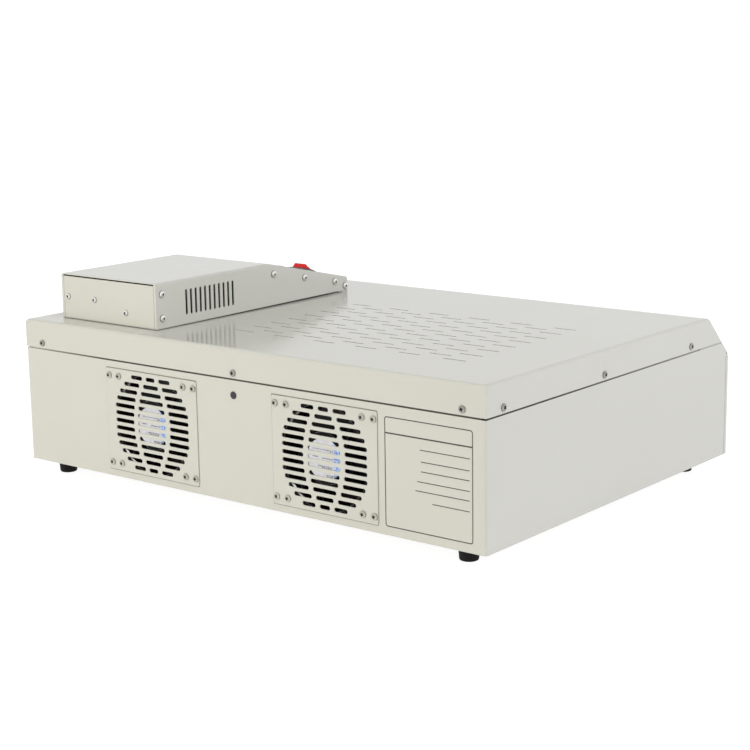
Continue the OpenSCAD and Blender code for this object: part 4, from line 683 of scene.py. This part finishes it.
def makeHubLabel(side):
    size = hubLabel
    chance = random.Random(side)
    bm = bmesh.new()
    bmesh.ops.create_circle(bm, cap_ends=True, radius=size["radius"], segments=64)
    laidBack(bm)
    bmesh.ops.translate(bm, vec=(0, 0, -size["lower"]), verts=bm.verts)
    bmesh.ops.bisect_plane(bm, geom=bm.verts[:] + bm.edges[:] + bm.faces[:],
                           plane_co=(size["band"], 0, 0), plane_no=(1, 0, 0))
    thickened(bm, bm.faces[:], size["thick"])
    for face in bm.faces:
        face.material_index = 1 if face.calc_center_median().x < size["band"] else 0
    before = len(bm.faces)
    for z, x, end, dense in size["rows"]:
        while x < end:
            mark = chance.uniform(*size["mark"]) * dense
            strip(bm, (x, z), (x + mark, z), size["rowWidth"], size["rowThick"], size["thick"])
            x += mark + chance.uniform(*size["gap"])
    bm.faces.ensure_lookup_table()
    for face in bm.faces[before:]:
        face.material_index = 2
    movedToHub(bm, side)
    toPiece(bm, f"hubLabel_{side}", [labelPaper, labelBlue, labelGrey])


makeHubLabel("left")
makeHubLabel("right")
print("printed form, bore edges, roofShade and hub labels made")


# Control panel: x from the middle of the box, s down the slope from the ridge, h above it
panel = {"ridgeY": boxHigh.y - 0.195, "ridgeZ": boxHigh.z, "drop": 0.0356, "run": 0.154,
         "ink": 0.00008}
display = {"s": 0.044, "size": (0.092, 0.050), "frameOut": 0.006, "corner": 0.004,
           "line": 0.0012, "screenIn": 0.004, "screenThick": 0.0002, "screenH": -0.0029}
keyRow = {"x": 0.022, "s": 0.100, "top": 0.003, "pitch": 0.018, "frame": (0.011, 0.0095),
          "corner": 0.005, "line": 0.0008, "arrow": 0.0021, "ring": (0.0022, 0.0014)}
rockerTop = {"at": (-0.056, 0.0936, 0.0005), "tilt": 24, "dish": 0.0009, "dishReach": 0.0063,
             "signAt": 0.0042, "signHeight": 0.0057, "sign": 0.0012, "ring": 0.0004,
             "bar": 0.0005}
slope = math.atan2(panel["drop"], panel["run"])
boxMiddle = (boxLow.x + boxHigh.x) / 2


def onPanel(x, s, h=0.0, tilt=0.0):
    # matrix from local X across, Y outward from the panel and Z up the slope
    ridge = Matrix.Translation((boxMiddle, panel["ridgeY"], panel["ridgeZ"]))
    turned = Matrix.Rotation(slope, 4, "X") @ Matrix.Translation((x, -s, h))
    stand = Matrix(((1, 0, 0, 0), (0, 0, 1, 0), (0, 1, 0, 0), (0, 0, 0, 1)))
    return ridge @ turned @ Matrix.Rotation(math.radians(tilt), 4, "X") @ stand


def placedOnPanel(bm, matrix, name, material, body="case"):
    bmesh.ops.transform(bm, matrix=matrix, verts=bm.verts)
    bmesh.ops.recalc_face_normals(bm, faces=bm.faces)
    toPiece(bm, name, material, body)


def makePanelPrint():
    w, h = (side / 2 + display["frameOut"] for side in display["size"])
    bm = printedFrame(-w, w, -h, h, display["corner"], display["line"], panel["ink"])
    placedOnPanel(bm, onPanel(0, display["s"]), "displayPrint", keyPlastic)
    w, h = 2 * keyRow["pitch"] + keyRow["frame"][0], keyRow["frame"][1]
    bm = printedFrame(-w, w, -h, h, keyRow["corner"], keyRow["line"], panel["ink"])
    placedOnPanel(bm, onPanel(keyRow["x"], keyRow["s"]), "keyPrint", keyPlastic)


def makeKeySigns():
    # four arrows and a ring, one on each key
    for k in range(5):
        bm = bmesh.new()
        if k < 4:
            bmesh.ops.create_circle(bm, cap_ends=True, radius=keyRow["arrow"], segments=3)
        else:
            for radius in keyRow["ring"]:
                bmesh.ops.create_circle(bm, radius=radius, segments=32)
            bmesh.ops.bridge_loops(bm, edges=bm.edges[:])
        bmesh.ops.rotate(bm, cent=(0, 0, 0), matrix=Matrix.Rotation(math.radians(90), 3, "X"),
                         verts=bm.verts)
        thickened(bm, bm.faces[:], panel["ink"])
        bmesh.ops.rotate(bm, cent=(0, 0, 0), matrix=Matrix.Rotation(math.radians(90 * k), 3, "Y"),
                         verts=bm.verts)
        x = keyRow["x"] + (k - 2) * keyRow["pitch"]
        placedOnPanel(bm, onPanel(x, keyRow["s"], keyRow["top"]), f"keySign_{k + 1}",
                      whiteInk, f"key_{k + 1}_body")


def makeRockerSigns():
    # a ring at the upper end and a bar at the lower one, each on its half of the dished top
    top = rockerTop
    r = top["sign"]
    both = bmesh.new()
    for end in (1, -1):
        if end > 0:
            bm = printedFrame(-r, r, -r, r, r, top["ring"], panel["ink"])
        else:
            bm = bmesh.new()
            strip(bm, (0, -r), (0, r), top["bar"], panel["ink"], 0)
        lean = Matrix.Rotation(end * math.atan2(top["dish"], top["dishReach"]), 4, "X")
        at = Matrix.Translation((0, top["signHeight"], end * top["signAt"]))
        bmesh.ops.transform(bm, matrix=at @ lean, verts=bm.verts)
        both.from_mesh(toMesh(bm, "sign"))
    placedOnPanel(both, onPanel(*top["at"], top["tilt"]), "rockerSigns", whiteInk,
                  "rocker_switch")


lcdGlass = newMaterial("lcdGlass", (0.05, 0.09, 0.16), 0.25)
dots = addNode(lcdGlass, "ShaderNodeTexVoronoi", {"distance": "CHEBYCHEV"}, Scale=900,
               Randomness=0.0)
join(lcdGlass, placeOn(lcdGlass), dots.inputs["Vector"])
tint(lcdGlass, dots.outputs["Distance"], (0.05, 0.10, 0.18), (0.035, 0.065, 0.13), 0.35, 0.5)


def makeScreen():
    w, h = (side / 2 - display["screenIn"] for side in display["size"])
    bm = bmesh.new()
    blockMesh(bm, (-w, 0, -h), (w, display["screenThick"], h))
    placedOnPanel(bm, onPanel(0, display["s"], display["screenH"]), "displayScreen", lcdGlass)


makePanelPrint()
makeKeySigns()
makeRockerSigns()
makeScreen()
print("control panel dressed")


# Wound coils inside the quartz tubes
coil = {"radius": 0.0021, "wire": 0.0004, "pitch": 0.0026, "perTurn": 8}


def makeCoils():
    bm = bmesh.new()
    for low, high in solidsOf("heater_filaments"):
        y, z = (low.y + high.y) / 2, (low.z + high.z) / 2
        curve = bpy.data.curves.new("coil", "CURVE")
        curve.dimensions = "3D"
        curve.bevel_depth = coil["wire"]
        curve.bevel_resolution = 0
        spline = curve.splines.new("POLY")
        count = int((high.x - low.x) / coil["pitch"]) * coil["perTurn"]
        spline.points.add(count - 1)
        for i in range(count):
            angle = 2 * math.pi * i / coil["perTurn"]
            x = low.x + (high.x - low.x) * i / (count - 1)
            spline.points[i].co = (x, y + coil["radius"] * math.cos(angle),
                                   z + coil["radius"] * math.sin(angle), 1)
        holder = bpy.data.objects.new("coilHolder", curve)
        bpy.context.scene.collection.objects.link(holder)
        evaluated = holder.evaluated_get(bpy.context.evaluated_depsgraph_get())
        bm.from_mesh(bpy.data.meshes.new_from_object(evaluated))
        bpy.data.objects.remove(holder)
    for face in bm.faces:
        face.smooth = True
    toPiece(bm, "heaterCoils", filamentWire, "case", ["heater_filaments"])


makeCoils()
print("heater coils made")


# Floor, light and camera
stage = {"floor": 0.97, "floorSize": 12, "shadowShare": 0.30, "floorWhite": 1.30,
         "worldDiffuse": 0.33, "worldSeen": 1.0}


def seenByCamera(tree):  # 1 for camera, glossy and transmission rays, 0 for the rest
    path = tree.nodes.new("ShaderNodeLightPath")
    first = tree.nodes.new("ShaderNodeMath")
    first.operation = "MAXIMUM"
    second = tree.nodes.new("ShaderNodeMath")
    second.operation = "MAXIMUM"
    tree.links.new(path.outputs["Is Camera Ray"], first.inputs[0])
    tree.links.new(path.outputs["Is Glossy Ray"], first.inputs[1])
    tree.links.new(first.outputs[0], second.inputs[0])
    tree.links.new(path.outputs["Is Transmission Ray"], second.inputs[1])
    return second.outputs[0]


def makeFloor():
    bm = bmesh.new()
    bmesh.ops.create_grid(bm, x_segments=1, y_segments=1, size=stage["floorSize"])
    data = toMesh(bm, "floor")
    floor = bpy.data.objects.new("floor", data)
    bpy.context.scene.collection.objects.link(floor)
    pale = bpy.data.materials.new("paleFloor")
    pale.use_nodes = True
    tree = pale.node_tree
    tree.nodes.clear()
    output = tree.nodes.new("ShaderNodeOutputMaterial")
    diffuse = tree.nodes.new("ShaderNodeBsdfDiffuse")
    diffuse.inputs["Color"].default_value = (stage["floor"],) * 3 + (1,)
    white = tree.nodes.new("ShaderNodeEmission")
    white.inputs["Strength"].default_value = stage["floorWhite"]
    mixed = tree.nodes.new("ShaderNodeMixShader")
    share = tree.nodes.new("ShaderNodeMath")
    share.operation = "MULTIPLY"
    share.inputs[1].default_value = 1 - stage["shadowShare"]
    tree.links.new(seenByCamera(tree), share.inputs[0])
    tree.links.new(share.outputs[0], mixed.inputs[0])
    tree.links.new(diffuse.outputs[0], mixed.inputs[1])
    tree.links.new(white.outputs[0], mixed.inputs[2])
    tree.links.new(mixed.outputs[0], output.inputs[0])
    data.materials.append(pale)


def makeWorld():
    world = bpy.data.worlds.new("paleWorld")
    bpy.context.scene.world = world
    world.use_nodes = True
    tree = world.node_tree
    background = tree.nodes["Background"]
    background.inputs["Color"].default_value = (1, 1, 1, 1)
    ranged = tree.nodes.new("ShaderNodeMapRange")
    ranged.inputs["To Min"].default_value = stage["worldDiffuse"]
    ranged.inputs["To Max"].default_value = stage["worldSeen"]
    tree.links.new(seenByCamera(tree), ranged.inputs["Value"])
    tree.links.new(ranged.outputs["Result"], background.inputs["Strength"])


lamps = {
    "rearLeft": {"at": (2.2, 2.5, 0.6), "aim": (0, 0, 0.1), "size": 2.6, "power": 33,
                 "colour": (1.0, 0.99, 0.90)},
    "rearLow": {"at": (0.6, 3.2, 0.4), "aim": (0, 0.1, 0.05), "size": 1.6, "power": 29.5,
                "colour": (1.0, 0.985, 0.83)},
    "sideLow": {"at": (-3.0, -0.9, 0.7), "aim": (0, 0, 0.1), "size": 1.8, "power": 23.5,
                "colour": (0.88, 0.895, 1.0)},
    "above": {"at": (-1.9, 0.7, 2.7), "aim": (0, 0, 0), "size": 2.4, "power": 36.5,
              "colour": (1.0, 1.0, 0.96)},
    "front": {"at": (2.2, -2.6, 1.0), "aim": (0, 0, 0.1), "size": 2.0, "power": 24,
              "colour": (1.0, 0.99, 0.96)},
}


def makeLamps():
    for name, lamp in lamps.items():
        data = bpy.data.lights.new(name, "AREA")
        data.shape = "DISK"
        data.size = lamp["size"]
        data.energy = lamp["power"]
        data.color = lamp["colour"]
        holder = bpy.data.objects.new(name, data)
        bpy.context.scene.collection.objects.link(holder)
        holder.visible_glossy = False
        holder.location = lamp["at"]
        holder.rotation_euler = (Vector(lamp["aim"]) - Vector(lamp["at"])).to_track_quat(
            "-Z", "Y").to_euler()


eye = {"at": (-1.3007, 1.6424, 0.5529), "right": (-0.7824, -0.6226, -0.0147),
       "down": (-0.1163, 0.1693, -0.9787), "ahead": (0.6118, -0.7640, -0.2048),
       "lens": 83.70, "sensor": 36.0}


def makeCamera():
    data = bpy.data.cameras.new("camera")
    data.sensor_fit = "HORIZONTAL"
    data.sensor_width = eye["sensor"]
    data.lens = eye["lens"]
    data.clip_start = 0.01
    data.clip_end = 100
    camera = bpy.data.objects.new("camera", data)
    bpy.context.scene.collection.objects.link(camera)
    columns = [Vector(eye["right"]), -Vector(eye["down"]), -Vector(eye["ahead"])]
    turned = Matrix([[c[k] for c in columns] for k in range(3)]).to_4x4()
    camera.matrix_world = Matrix.Translation(Vector(eye["at"])) @ turned
    bpy.context.scene.camera = camera


makeFloor()
makeWorld()
makeLamps()
makeCamera()
bpy.context.scene.view_settings.view_transform = "Standard"
print("stage, light and camera set")
